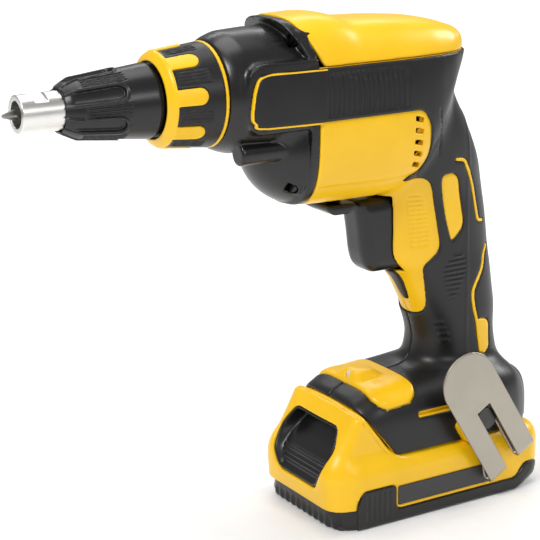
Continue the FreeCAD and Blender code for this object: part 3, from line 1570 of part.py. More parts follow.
def pack_screw_rods(name, radius, along):
    """Upright round bars at the four corners of the pack."""
    return [rod(f"{name}_{index}", "Z", radius, along, (ahead * S.pack_screw_x, side * S.pack_screw_y))
            for index, (ahead, side) in enumerate(CORNERS)]


def make_pack_base():
    half_length = S.pack_length / 2 - S.base_inset
    half_width = S.pack_width / 2 - S.base_inset
    tray = rounded_block("base_block", (-half_length, half_length), (-half_width, half_width),
                         (0, S.pack_split), S.pack_corner)
    hollow = box("base_hollow", (-holder_reach - S.part_gap, holder_reach + S.part_gap),
                 (-S.pack_width / 2 + S.pack_wall, S.pack_width / 2 - S.pack_wall),
                 (S.pack_floor, S.pack_split + S.cut_over))
    holes = pack_screw_rods("base_screw_hole", S.screw_radius + S.run_gap, pack_screw_span)
    sinks = pack_screw_rods("base_screw_sink", S.screw_head_radius + S.part_gap, (-S.cut_over, S.pack_floor))
    piece(cut("pack_base", tray, hollow, *holes, *sinks), "pack_base")
    shanks = pack_screw_rods("pack_screw_shank", S.screw_radius, pack_screw_span)
    head_span = (S.pack_floor - S.screw_head, S.pack_floor)
    heads = pack_screw_rods("pack_screw_head", S.screw_head_radius, head_span)
    screws = [fuse(f"pack_screw_{index}", *pair) for index, pair in enumerate(zip(shanks, heads))]
    piece(fuse("pack_screws", *screws), "pack_screws")


def make_pack_labels():
    half_width = S.pack_width / 2
    left = box("pack_label_left", (S.label_rear, S.label_front), (half_width - S.label_thick, half_width),
               (S.label_low, S.label_high))
    right = box("pack_label_right", (S.label_rear, S.label_front), (-half_width, -half_width + S.label_thick),
                (S.label_low, S.label_high))
    piece(left, "pack_label_left")
    piece(right, "pack_label_right")


def cell_rods(name, radius, half):
    return [rod(f"{name}_{index}", "Y", radius, (-half, half),
                (S.cell_pitch * (index - (CELLS - 1) / 2), S.cell_height))
            for index in range(CELLS)]


def make_pack_inside():
    half = S.cell_length / 2
    piece(fuse("battery_cells", *cell_rods("cell", S.cell_radius, half)), "battery_cells")
    side = half + S.seat_gap
    cradle = box("holder_cradle", (-holder_reach, holder_reach), (-side, side),
                 (S.holder_low, S.holder_low + S.holder_height))
    rooms = cell_rods("cell_room", S.cell_radius + S.seat_gap, half + S.cut_over)
    walls = [box(f"holder_wall_{index}", (-holder_reach, holder_reach), span, (S.holder_low, S.board_low))
             for index, span in enumerate(((side, side + S.holder_wall), (-side - S.holder_wall, -side)))]
    piece(fuse("cell_holder", cut("holder_frame", cradle, *rooms), *walls), "cell_holder")
    board_side = side + S.holder_wall - S.part_gap
    piece(box("pack_circuit_board", (-holder_reach, recess_back() - S.part_gap), (-board_side, board_side),
              (S.board_low, S.board_low + S.board_thick)), "pack_circuit_board")
    clips = []
    for index, middle in enumerate(contact_places()):
        block = box(f"clip_block_{index}", (S.clip_place, S.clip_place + S.clip_length),
                    (middle - S.clip_width / 2, middle + S.clip_width / 2),
                    (S.board_low + S.board_thick, S.clip_high))
        slot = box(f"clip_slot_{index}", everywhere, (middle - S.clip_slot / 2, middle + S.clip_slot / 2),
                   (S.clip_slot_low, S.room))
        clips.append(cut(f"clip_{index}", block, slot))
    piece(fuse("pack_terminals", *clips), "pack_terminals")


def export_pieces():
    """Checks every object and writes each piece to its own file."""
    doc.recompute()
    for thing in doc.Objects:
        if "Invalid" in thing.State or "Error" in thing.State:
            raise RuntimeError(f"{thing.Label} failed: {thing.State}")
    for thing in PIECES:
        if thing.Shape.isNull() or not thing.Shape.isValid():
            raise RuntimeError(f"{thing.Label} has no valid shape")
    os.makedirs("parts", exist_ok=True)
    for thing in PIECES:
        thing.Shape.exportStep(f"parts/{thing.Label}.step")
        print(f"{thing.Label}: {len(thing.Shape.Solids)} solid(s), {thing.Shape.Volume / 1000:.2f} cm3")


make_housing()
make_top_cap()
make_grips()
make_side_bands()
make_gear_case()
make_gear_plate()
make_gears()
make_spindle()
make_bit()
make_motor()
make_lock_collar()
make_nose()
make_trigger()
make_lever()
make_foot_fittings()
make_belt_hook()
make_screws()
make_pack_shell()
make_release_button()
make_pack_base()
make_pack_labels()
make_pack_inside()
export_pieces()
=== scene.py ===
"""Cordless drywall screwdriver, dressed as in its photo. Shapes are worked out in millimetres."""

import json
import math
from types import SimpleNamespace as Sizes

import bpy
import numpy as np
from mathutils import Matrix, Vector


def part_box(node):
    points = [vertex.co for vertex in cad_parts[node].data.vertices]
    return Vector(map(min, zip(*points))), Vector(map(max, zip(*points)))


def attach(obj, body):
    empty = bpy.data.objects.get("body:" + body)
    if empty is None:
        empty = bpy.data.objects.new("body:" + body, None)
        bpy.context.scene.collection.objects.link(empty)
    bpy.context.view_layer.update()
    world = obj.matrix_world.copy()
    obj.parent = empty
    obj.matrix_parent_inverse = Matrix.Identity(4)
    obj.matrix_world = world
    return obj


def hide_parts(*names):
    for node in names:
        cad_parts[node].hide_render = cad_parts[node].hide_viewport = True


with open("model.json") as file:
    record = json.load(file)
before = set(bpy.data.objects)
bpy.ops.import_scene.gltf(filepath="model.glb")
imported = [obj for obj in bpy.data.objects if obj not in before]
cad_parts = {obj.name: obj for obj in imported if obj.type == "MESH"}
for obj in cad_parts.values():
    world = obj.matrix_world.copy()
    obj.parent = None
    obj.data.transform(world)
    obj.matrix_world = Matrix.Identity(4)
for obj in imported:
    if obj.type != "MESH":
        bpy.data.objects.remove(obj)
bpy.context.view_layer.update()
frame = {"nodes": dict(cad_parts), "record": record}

# Units
MM = 0.001
FULL_TURN = 2 * math.pi

# How much of an edge a rounded corner may take, and steps between the points of a drawn line
CORNER_SHARE = 0.45
STROKE_STEPS = 6

# Camera as fitted to the photo
CAMERA = Sizes(
    place=(497.9, 696.9, 362.7), target=(78.39, 0.0, 135.07), roll=-0.673, lens=112.4, sensor=36.0,
)

# Lines and sizes shared with the CAD model
S = Sizes(
    drive=227.5, motor=197.5, seam=239.5, joint=68.0, wall=2.6, skin=1.0, tail=33.0, body_front=80.0,
    body_half=31.5, cap_rise=35.5, belly_drop=59.3, grip_low=60.0, grip_high=234.0, grip_reach=62.5,
    grip_depth=52.0, grip_half=17.5, foot_front=45.0, foot_rear=72.5, foot_half=33.5, foot_base=36.0,
    foot_height=41.0, tail_meld=5.0, foot_meld=6.0, edge=1.0, tail_round=4.0, grip_sink=6.0,
    grip_round=2.0, foot_round=3.0, seam_round=0.4, joint_round=0.6,
)

# Main body, from the tail forwards: place along, half width, rise above and drop below the spindle
BODY_SHARES = (
    (0.000, 0.22, 0.394, -0.130), (0.044, 0.476, 0.600, -0.080), (0.115, 0.70, 0.705, 0.130),
    (0.221, 0.876, 0.795, 0.615), (0.345, 0.965, 0.842, 0.910), (0.469, 0.997, 0.872, 0.992),
    (0.600, 1.000, 0.885, 1.000), (0.660, 1.000, 0.900, 1.000), (0.730, 1.000, 0.965, 0.998),
    (0.800, 1.000, 0.996, 0.995), (0.900, 0.997, 0.992, 0.987), (1.000, 0.997, 0.983, 0.975),
)

# Handle, from the foot upwards: place along, reach of its back, depth, half width
GRIP_SHARES = (
    (0.000, 1.008, 1.212, 1.400), (0.069, 0.960, 1.010, 1.100), (0.138, 0.928, 0.913, 1.000),
    (0.230, 0.928, 0.990, 0.990), (0.287, 0.907, 1.052, 0.990), (0.356, 0.882, 1.160, 0.990),
    (0.408, 0.861, 1.310, 0.990), (0.517, 0.821, 1.310, 0.990), (0.603, 0.776, 1.260, 1.000),
    (0.695, 0.713, 1.210, 1.120), (0.805, 0.576, 1.115, 1.200), (0.897, 0.440, 0.865, 1.140),
    (0.954, 0.397, 0.731, 0.970), (1.000, 0.384, 0.577, 0.740),
)

# Foot, from the rear forwards: place along, half width, height
FOOT_SHARES = (
    (0.000, 0.360, 0.290), (0.017, 0.550, 0.500), (0.047, 0.700, 0.610), (0.098, 0.840, 0.720),
    (0.174, 0.940, 0.800), (0.277, 0.990, 0.838), (0.447, 1.000, 0.848), (0.617, 1.000, 0.815),
    (0.770, 0.990, 0.790), (0.881, 0.960, 0.768), (0.928, 0.920, 0.710), (0.966, 0.870, 0.655),
    (1.000, 0.800, 0.560),
)
BODY_SQUARE = 3.1
GRIP_SQUARE = 2.5
FOOT_SQUARE = 4.0

# Outlines seen from the side, as places along X and Z
RUBBER_EDGE = (
    (98, 241), (-60, 241), (-110, 200), (-110, 30), (70, 30), (70, 70), (30, 98.5), (-5, 98.5),
    (-9, 102), (-9.3, 106), (-6.7, 118), (-4.5, 126.5), (-5.5, 129), (-12.5, 134.4), (-14.2, 138.4),
    (-10.5, 158), (-8.2, 169), (-6.5, 172.6), (-2.3, 175.4), (15.4, 176.7), (12, 179.7), (3.5, 181.2),
    (-0.1, 186.2), (0.3, 195), (1.7, 206), (6.7, 213.2), (14.5, 213.6), (100.3, 213.4), (104.5, 216.5),
    (106, 221), (103.4, 234.5),
)
LOZENGE = ((-14.1, 175.1), (-20.7, 175.8), (-24.4, 172.4), (-29, 149.6), (-28, 145.4), (-21.7, 139.6),
           (-18, 151.8), (-14.4, 170.1))
BACK_PIPING = (
    (-22.2, 183.2), (-27.6, 181.9), (-30.2, 178.1), (-35.6, 167), (-38.6, 154.8), (-40.5, 148.2),
    (-44, 147),
)
LOW_PIPING = ((-47.8, 132.4), (-45, 128.1), (-43, 121.3), (-37.6, 112.8), (-36.2, 108.5), (-37.1, 101),
              (-39.5, 92), (-40.7, 83), (-41.5, 76))
HEEL_BLOCK = ((-39.6, 94), (-46.3, 92.8), (-48.4, 90), (-48, 77), (-43, 73.5), (-41, 80))
PINSTRIPE = (
    (64.2, 238.5), (80.7, 238.6), (97.6, 238.5), (103, 234.1), (105.8, 220.7), (104, 216.5),
    (100.2, 214.1), (67.5, 213.2),
)
TAIL_SEAM = ((-4.2, 212), (-6.3, 204.7), (-9.5, 196.1), (-10.3, 187.3))
SHORT_RIBS = ((-16, 95), (-17.2, 91.6), (-18.5, 88.6), (-19.2, 85))
NECK_RIBS = ((5.6, 167), (-3.6, 167.3), (-8.7, 138.5), (3.0, 138))
HANDLE_RIBS = ((-21.3, 131), (-30.4, 131.5), (-31.4, 122.2), (-26, 111.3), (-21.7, 105.1), (-17.1, 115.9),
               (-15.4, 124))
PANEL = (
    (69, 212.8), (14.5, 213), (7.2, 212.4), (2.4, 206), (1.0, 195), (0.6, 187), (4, 182.2), (12, 180.6),
    (20, 180), (69, 181),
)

# Outline seen from the front, as places along Y and Z
FINGER_WINDOW = ((8, 126), (7.6, 120), (5.8, 108), (2.6, 107.4), (0.6, 112), (0.3, 126))


# Fields: negative inside a form, and about as large as the distance to its surface


class Grid:
    """Sample points of a block of space."""

    margin = 3

    def __init__(self, low, high, step):
        self.step = step
        spread = self.margin * step
        lines = [np.arange(a - spread, b + spread + step, step, dtype=np.float32)
                 for a, b in zip(low, high)]
        self.start = np.array([line[0] for line in lines])
        self.shape = tuple(len(line) for line in lines)
        self.x = lines[0][:, None, None]
        self.y = lines[1][None, :, None]
        self.z = lines[2][None, None, :]
        self.out = np.abs(self.y)

    def even(self, field):
        """Turns a field that is zero on a surface into distances near it."""
        whole = np.ascontiguousarray(np.broadcast_to(field, self.shape))
        slopes = np.gradient(whole, self.step)
        steep = np.sqrt(sum(slope * slope for slope in slopes))
        return whole / np.maximum(steep, MM)


def meld(a, b, soft):
    """Both forms as one, with a fillet where they meet."""
    share = np.clip(0.5 + 0.5 * (b - a) / soft, 0, 1)
    return b + (a - b) * share - soft * share * (1 - share)


def meet(a, b, soft):
    """Only what both forms cover, with a rounded edge."""
    return -meld(-a, -b, soft)


def both(a, b):
    """Only what both forms cover, with a sharp edge."""
    return np.maximum(a, b)


def either(a, b):
    """Both forms as one, with a sharp corner."""
    return np.minimum(a, b)


def carve(a, b, soft):
    """The first form without the second."""
    return meet(a, -b, soft)


def ramp(field, width):
    """1 well inside a field's form, 0 well outside, with a soft step of the given width."""
    share = np.clip(0.5 - field / width, 0, 1)
    return share * share * (3 - 2 * share)


def ribs_on(pad, along, sizes):
    """Heights of ribs that fade out at the edge of a pad."""
    return sizes.rib_rise * ramp(pad, sizes.rib_step) * np.sin(along * FULL_TURN / sizes.rib_pitch)


def rod_field(a, b, centre, radius):
    return np.hypot(a - centre[0], b - centre[1]) - radius


def span(a, low, high):
    return np.abs(a - (low + high) / 2) - (high - low) / 2


def plane(a, b, first, second):
    """Distance to a line through two points of a plane, negative on its right-hand side."""
    run = (second[0] - first[0], second[1] - first[1])
    length = math.hypot(*run)
    return ((b - first[1]) * run[0] - (a - first[0]) * run[1]) / length


def fillet(points, radius, steps=4):
    """An outline with its corners rounded."""
    points = [np.array(point, dtype=float) for point in points]
    smooth = []
    for index, corner in enumerate(points):
        before = points[index - 1] - corner
        after = points[(index + 1) % len(points)] - corner
        reach = min(radius, CORNER_SHARE * np.linalg.norm(before), CORNER_SHARE * np.linalg.norm(after))
        first = corner + before / np.linalg.norm(before) * reach
        last = corner + after / np.linalg.norm(after) * reach
        for step in range(steps + 1):
            t = step / steps
            smooth.append((1 - t) ** 2 * first + 2 * t * (1 - t) * corner + t * t * last)
    return smooth


def outline(a, b, points):
    """Distance to a closed outline, negative inside it."""
    nearest = None
    inside = False
    for first, last in zip(points, points[1:] + points[:1]):
        run = (last[0] - first[0], last[1] - first[1])
        off_a = a - first[0]
        off_b = b - first[1]
        share = np.clip((off_a * run[0] + off_b * run[1]) / (run[0] ** 2 + run[1] ** 2 + MM), 0, 1)
        apart = (off_a - run[0] * share) ** 2 + (off_b - run[1] * share) ** 2
        nearest = apart if nearest is None else np.minimum(nearest, apart)
        rises = (b >= first[1]) & (b < last[1]) & (run[0] * off_b > run[1] * off_a)
        falls = (b < first[1]) & (b >= last[1]) & (run[0] * off_b < run[1] * off_a)
        inside = inside ^ (rises | falls)
    return np.sqrt(nearest) * np.where(inside, -1, 1)


def side_plan(g, points, corner):
    """Distance to an outline seen from the side, its corners rounded."""
    return outline(g.x, g.z, fillet(points, corner))


def stroke(a, b, points):
    """Distance to a smooth line through the points."""
    points = np.array(points, dtype=float)
    places = np.arange(len(points))
    fine = np.linspace(0, len(points) - 1, STROKE_STEPS * len(points))
    line = np.stack([curve(places, points[:, column], fine) for column in (0, 1)], axis=1)
    nearest = None
    for first, last in zip(line[:-1], line[1:]):
        run = last - first
        share = np.clip(((a - first[0]) * run[0] + (b - first[1]) * run[1]) / (run @ run + MM * MM), 0, 1)
        apart = (a - first[0] - run[0] * share) ** 2 + (b - first[1] - run[1] * share) ** 2
        nearest = apart if nearest is None else np.minimum(nearest, apart)
    return np.sqrt(nearest)


def curve(places, values, at):
    """Smooth line through values at rising places, level beyond both ends."""
    places = np.asarray(places, dtype=float)
    values = np.asarray(values, dtype=float)
    slopes = np.gradient(values, places)
    at = np.clip(at, places[0], places[-1])
    index = np.clip(np.searchsorted(places, at, side="right") - 1, 0, len(places) - 2)
    width = places[index + 1] - places[index]
    t = (at - places[index]) / width
    rise = (3 - 2 * t) * t * t
    start = t * (1 - t) ** 2 * width * slopes[index]
    end = t * t * (t - 1) * width * slopes[index + 1]
    return (values[index] * (1 - rise) + values[index + 1] * rise + start + end).astype(np.float32)


def turned(g, profile, height=S.drive):
    """A form turned about a line along X: the profile gives places along X and radii."""
    radius = np.hypot(g.y, g.z - height)
    return outline(g.x, radius, profile)


# From fields to meshes


def skin_of(field, g):
    """The closed surface of a field: one point in each crossed cell, a face round each crossed edge."""
    field = np.array(np.broadcast_to(field, g.shape), dtype=np.float32)
    for axis in range(3):
        edge = np.moveaxis(field, axis, 0)
        edge[0] = np.abs(edge[0]) + g.step
        edge[-1] = np.abs(edge[-1]) + g.step
    solid = field < 0
    size = np.array(field.shape) - 1
    corners = [(i, j, k) for i in (0, 1) for j in (0, 1) for k in (0, 1)]

    def seen_from(whole, corner):
        return whole[tuple(slice(c, c + n) for c, n in zip(corner, size))]

    count = sum(seen_from(solid, corner).astype(np.uint8) for corner in corners)
    cells = np.argwhere((count > 0) & (count < len(corners)))
    values = [field[tuple((cells + corner).T)] for corner in corners]
    total = np.zeros((len(cells), 3))
    crossed = np.zeros((len(cells), 1))
    for first, start in enumerate(corners):
        for last in range(first + 1, len(corners)):
            run = np.subtract(corners[last], start)
            if abs(run).sum() != 1:
                continue
            change = (values[first] < 0) != (values[last] < 0)
            share = values[first][change] / (values[first][change] - values[last][change])
            total[change] += np.array(start) + share[:, None] * run
            crossed[change] += 1
    points = (cells + total / crossed) * g.step + g.start
    number = np.full(tuple(size), -1, dtype=np.int64)
    number[tuple(cells.T)] = np.arange(len(cells))
    faces = []
    for axis in range(3):
        second, third = (axis + 1) % 3, (axis + 2) % 3
        ahead = np.moveaxis(solid, (axis, second, third), (0, 1, 2))
        change = np.argwhere(ahead[:-1, 1:-1, 1:-1] != ahead[1:, 1:-1, 1:-1])
        place = np.zeros_like(change)
        place[:, axis] = change[:, 0]
        place[:, second] = change[:, 1] + 1
        place[:, third] = change[:, 2] + 1
        outward = solid[tuple(place.T)]
        ring = []
        for back in ((0, 0), (1, 0), (1, 1), (0, 1)):
            cell = place.copy()
            cell[:, second] -= back[0]
            cell[:, third] -= back[1]
            ring.append(number[tuple(cell.T)])
        quads = np.stack(ring, axis=1)
        quads[~outward] = quads[~outward][:, ::-1]
        faces.append(quads)
    return points, np.concatenate(faces)


def piece_of(name, field, g, body, slot, *nodes, keep=0.5, side=1, look=None):
    """A dressed piece: the smooth closed mesh of a field. side -1 mirrors it to the tool's right."""
    points, faces = skin_of(field, g)
    points[:, 1] *= side
    faces = faces[:, ::side]
    mesh = bpy.data.meshes.new(name)
    mesh.vertices.add(len(points))
    mesh.vertices.foreach_set("co", (points * MM).ravel())
    mesh.loops.add(faces.size)
    mesh.loops.foreach_set("vertex_index", faces.ravel())
    mesh.polygons.add(len(faces))
    mesh.polygons.foreach_set("loop_start", np.arange(0, faces.size, 4))
    mesh.update(calc_edges=True)
    mesh.validate()
    obj = bpy.data.objects.new(name, mesh)
    bpy.context.scene.collection.objects.link(obj)
    if keep < 1:
        thin = obj.modifiers.new("thin", "DECIMATE")
        thin.ratio = keep
        depsgraph = bpy.context.evaluated_depsgraph_get()
        obj.data = bpy.data.meshes.new_from_object(obj.evaluated_get(depsgraph))
        obj.modifiers.clear()
        bpy.data.meshes.remove(mesh)
    obj.data.polygons.foreach_set("use_smooth", np.ones(len(obj.data.polygons), dtype=bool))
    dress(obj, body, LOOKS[look or slot], slot, *nodes)


def dress(obj, body, look, slot, *nodes):
    """Ties a piece to the body that carries it and gives it its material."""
    obj.data.materials.clear()
    obj.data.materials.append(look)
    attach(obj, body)
    if nodes:
        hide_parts(*nodes)


# Materials

CLOUD = Sizes(scale=60.0, detail=4.0, low=0.3, high=0.7, sheen=0.06)
GRAIN = Sizes(detail=2.0, deep=0.05)


def look_of(name, colour, rough, metal=0.0, grain=0.25, grain_size=0.5, shade=0.12, gloss=0.5):
    """A surface whose colour, sheen and fine grain vary from place to place."""
    material = bpy.data.materials.new(name)
    material.use_nodes = True
    nodes = material.node_tree.nodes
    links = material.node_tree.links
    surface = nodes["Principled BSDF"]
    surface.inputs["Metallic"].default_value = metal
    surface.inputs["Specular IOR Level"].default_value = gloss
    place = nodes.new("ShaderNodeTexCoord")
    cloud = nodes.new("ShaderNodeTexNoise")
    cloud.inputs["Scale"].default_value = CLOUD.scale
    cloud.inputs["Detail"].default_value = CLOUD.detail
    tint = nodes.new("ShaderNodeValToRGB")
    tint.color_ramp.elements[0].position = CLOUD.low
    tint.color_ramp.elements[1].position = CLOUD.high
    tint.color_ramp.elements[0].color = [value * (1 - shade) for value in colour] + [1]
    tint.color_ramp.elements[1].color = [min(1, value * (1 + shade)) for value in colour] + [1]
    sheen = nodes.new("ShaderNodeMapRange")
    sheen.inputs["To Min"].default_value = rough - CLOUD.sheen
    sheen.inputs["To Max"].default_value = rough + CLOUD.sheen
    fine = nodes.new("ShaderNodeTexNoise")
    fine.inputs["Scale"].default_value = 1 / (grain_size * MM)
    fine.inputs["Detail"].default_value = GRAIN.detail
    bump = nodes.new("ShaderNodeBump")
    bump.inputs["Strength"].default_value = grain
    bump.inputs["Distance"].default_value = GRAIN.deep * MM
    links.new(place.outputs["Object"], cloud.inputs["Vector"])
    links.new(place.outputs["Object"], fine.inputs["Vector"])
    links.new(cloud.outputs["Fac"], tint.inputs["Fac"])
    links.new(tint.outputs["Color"], surface.inputs["Base Color"])
    links.new(cloud.outputs["Fac"], sheen.inputs["Value"])
    links.new(sheen.outputs["Result"], surface.inputs["Roughness"])
    links.new(fine.outputs["Fac"], bump.inputs["Height"])
    links.new(bump.outputs["Normal"], surface.inputs["Normal"])
    return material


LOOK_VALUES = {
    "yellow_plastic": dict(colour=(0.91, 0.53, 0.003), rough=0.32, shade=0.03, grain=0.08),
    "black_plastic": dict(colour=(0.006, 0.006, 0.0065), rough=0.3, shade=0.2),
    "charcoal_plastic": dict(colour=(0.007, 0.007, 0.0075), rough=0.28, shade=0.2),
    "black_rubber": dict(colour=(0.007, 0.007, 0.0075), rough=0.38, shade=0.2, grain=0.3, gloss=0.45),
    "grey_plate": dict(colour=(0.035, 0.035, 0.037), rough=0.45),
    "pale_steel": dict(colour=(0.78, 0.77, 0.74), rough=0.3, metal=1.0, shade=0.06),
    "hook_steel": dict(colour=(0.42, 0.39, 0.33), rough=0.42, metal=1.0, shade=0.06),
    "dark_steel": dict(colour=(0.3, 0.29, 0.27), rough=0.35, metal=1.0),
    "screw_steel": dict(colour=(0.07, 0.07, 0.07), rough=0.35, metal=1.0),
    "bronze": dict(colour=(0.55, 0.36, 0.16), rough=0.4, metal=1.0),
    "copper_winding": dict(colour=(0.7, 0.3, 0.14), rough=0.35, metal=1.0),
    "cast_aluminium": dict(colour=(0.6, 0.6, 0.6), rough=0.5, metal=1.0, grain=0.5),
    "clear_lens": dict(colour=(0.7, 0.72, 0.74), rough=0.15),
    "cell_wrap": dict(colour=(0.08, 0.24, 0.36), rough=0.4),
    "green_board": dict(colour=(0.02, 0.16, 0.06), rough=0.45),
}
LOOKS = {name: look_of(name, **values) for name, values in LOOK_VALUES.items()}


# Forms of the motor housing


def body_form(g):
    along = (g.x + S.tail) / (S.tail + S.body_front)
    places, wide, rise, drop = np.array(BODY_SHARES).T
    half = S.body_half * curve(places, wide, along)
    top = S.drive + S.cap_rise * curve(places, rise, along)
    base = S.drive - S.belly_drop * curve(places, drop, along)
    across = np.abs(g.y / half) ** BODY_SQUARE
    upright = np.abs((2 * g.z - top - base) / (top - base)) ** BODY_SQUARE
    ring = g.even((across + upright) ** (1 / BODY_SQUARE) - 1)
    return meet(ring, -S.tail - g.x, S.tail_round)


def handle_form(g):
    along = (g.z - S.grip_low) / (S.grip_high - S.grip_low)
    places, back, deep, wide = np.array(GRIP_SHARES).T
    rear = -S.grip_reach * curve(places, back, along)
    depth = S.grip_depth * curve(places, deep, along)
    half = S.grip_half * curve(places, wide, along)
    ahead = np.abs((2 * (g.x - rear) - depth) / depth) ** GRIP_SQUARE
    across = np.abs(g.y / half) ** GRIP_SQUARE
    ring = g.even((ahead + across) ** (1 / GRIP_SQUARE) - 1)
    return meet(ring, span(g.z, S.grip_low - S.grip_sink, S.grip_high), S.grip_round)


def foot_form(g):
    along = (g.x + S.foot_rear) / (S.foot_rear + S.foot_front)
    places, wide, tall = np.array(FOOT_SHARES).T
    half = S.foot_half * curve(places, wide, along)
    high = S.foot_height * curve(places, tall, along)
    across = np.abs(g.y / half) ** FOOT_SQUARE
    upright = (np.maximum(g.z - S.foot_base, 0) / high) ** FOOT_SQUARE
    arch = g.even((across + upright) ** (1 / FOOT_SQUARE) - 1)
    ends = span(g.x, -S.foot_rear, S.foot_front)
    return both(meet(arch, ends, S.foot_round), S.foot_base - g.z)


def shell_form(g):
    """The whole outside of the two housing halves."""
    return meld(meld(body_form(g), handle_form(g), S.tail_meld), foot_form(g), S.foot_meld)


FOOT_SLOPE = ((24.3, 36), (42, 59.2))
GATE = Sizes(rear=-9, half=11, low=125.6, high=166.2, edge=0.8)
LEVER_SLOT = Sizes(rear=38, front=47, half=6.5, low=160, high=172)
RAIL = Sizes(stem=19.4, head=23.4, groove=39.6, top=46.4, rear=-57.4)


def gate_form(g):
    """The opening that the trigger moves in."""
    plan = both(GATE.rear - g.x, g.out - GATE.half)
    return both(plan, span(g.z, GATE.low, GATE.high))


def channel_form(g):
    """The way that the pack's rails slide in."""
    stem = both(g.out - RAIL.stem, g.z - RAIL.top)
    head = both(g.out - RAIL.head, span(g.z, RAIL.groove, RAIL.top))
    return both(either(stem, head), RAIL.rear - g.x)


def lever_slot(g):
    """The slot in the belly that the lever's stem slides in."""
    plan = both(span(g.x, LEVER_SLOT.rear, LEVER_SLOT.front), g.out - LEVER_SLOT.half)
    return both(plan, span(g.z, LEVER_SLOT.low, LEVER_SLOT.high))


def foot_slope(g):
    """Everything behind the sloping front of the foot, where the pack's tower begins."""
    return -plane(g.x, g.z, *FOOT_SLOPE)


def common_cuts(field, g):
    """Cuts through housing and soft grip alike."""
    field = carve(field, gate_form(g), GATE.edge)
    field = both(field, -lever_slot(g))
    field = both(field, -channel_form(g))
    return meet(field, foot_slope(g), S.edge)


VENTS = Sizes(
    count=5, pitch=5.85, mid=197.2, rear=6.4, front=11.8, tall=2.5, slope=0.25, deep=2.2, edge=0.5,
)


def vent_field(g):
    """Upright row of slanting slots at the rear of the yellow panel."""
    slots = None
    tilt = VENTS.slope * (g.x - (VENTS.rear + VENTS.front) / 2)
    for index in range(VENTS.count):
        high = VENTS.mid + (index - (VENTS.count - 1) / 2) * VENTS.pitch
        slot = both(span(g.x, VENTS.rear, VENTS.front), np.abs(g.z - high - tilt) - VENTS.tall / 2)
        slots = slot if slots is None else either(slots, slot)
    return slots


SLIT = Sizes(
    rear=-20, front=9.5, low=52.6, high=55.6, side=25, rim=0.8, deep=1.5, corner=1, edge=0.3,
)


def slit_plan(g):
    """A narrow slot in the soft grip on the side of the foot."""
    slot = meet(span(g.x, SLIT.rear, SLIT.front), span(g.z, SLIT.low, SLIT.high), SLIT.corner)
    return both(slot, SLIT.side - g.y)


HOOK = Sizes(
    x=-45.2, z=19.4, lean=math.radians(31.4), half=16.65, length=76.4, sheet=1.5, outer=45.5,
    inner=38.7, leg=46, leg_half=13, slot=4.5, slot_top=41.3, leg_slot=26, narrow_from=4,
    narrow_to=14, screw=33, thread=2, thread_end=28, thread_edge=0.3, hole_gap=0.1, edge=0.6,
    pad_half=14.4, pad_low=25, pad_high=38, pad_top=38.5, pad_root=20, pad_corner=3,
    pad_edge=0.8, pad_fillet=1.5,
)
HOOK_GRID = ((-64, 38, 10), (20, 46, 96), 0.45)
HOOK_HOLE = (HOOK.x + HOOK.screw * math.sin(HOOK.lean), HOOK.z + HOOK.screw * math.cos(HOOK.lean))


def hook_boss(g):
    """The raised pad of the housing that the hook is screwed to."""
    across, along = hook_local(g)
    plan = meet(np.abs(across) - HOOK.pad_half, span(along, HOOK.pad_low, HOOK.pad_high), HOOK.pad_corner)
    return meet(plan, g.y - HOOK.pad_top, HOOK.pad_edge)


RELIEF = Sizes(
    panel_rise=0.5, panel_corner=5, panel_step=1.2, lozenge_rise=0.8, lozenge_corner=2,
    neck_deep=0.6, neck_corner=4, neck_pitch=2.4, step=0.8,
)
HOUSING_GRID = ((-78, 0, 35.5), (69, 39, 240), 0.8)
BAND_GRID = ((-78, 0, 35.5), (108, 36, 240), 0.8)


def make_housing(side, name, node):
    g = Grid(*HOUSING_GRID)
    outer = shell_form(g)
    panel = side_plan(g, PANEL, RELIEF.panel_corner)
    lozenge = side_plan(g, LOZENGE, RELIEF.lozenge_corner)
    ribs = side_plan(g, NECK_RIBS, RELIEF.neck_corner)
    wave = 0.5 + 0.5 * np.sin(g.z * FULL_TURN / RELIEF.neck_pitch)
    raised = RELIEF.panel_rise * ramp(panel, RELIEF.panel_step)
    raised = raised + RELIEF.lozenge_rise * ramp(lozenge, RELIEF.step)
    raised = raised - RELIEF.neck_deep * ramp(ribs, RELIEF.step) * wave
    face = outer - raised
    face = carve(face, both(vent_field(g), -outer - VENTS.deep), VENTS.edge)
    face = carve(face, both(slit_plan(g) + SLIT.rim, -outer - SLIT.deep), SLIT.edge)
    face = meld(face, both(hook_boss(g), HOOK.pad_root - g.y), HOOK.pad_fillet)
    thread = both(rod_field(g.x, g.z, HOOK_HOLE, HOOK.thread), HOOK.thread_end - g.y)
    face = carve(face, thread, HOOK.thread_edge)
    field = both(face, -outer - S.wall)
    field = meet(field, g.z - S.seam, S.seam_round)
    field = meet(field, g.x - S.joint, S.joint_round)
    field = both(common_cuts(field, g), -g.y)
    piece_of(name, field, g, "housing", "yellow_plastic", node, keep=0.4, side=side)


BAND = Sizes(
    rib_rear=17, rib_front=64, rib_low=216, rib_high=236.5, rib_pitch=2.94, rib_rise=0.45,
    rib_step=1.5, rib_sink=0.6,
)
GRIP = Sizes(
    corner=4, rib_rise=0.35, rib_step=1, rib_pitch=2.6, short_rise=0.4, short_half=2.5,
    short_thick=0.7, short_step=0.8, seam_deep=0.7, seam_half=0.4, seam_step=0.6,
)


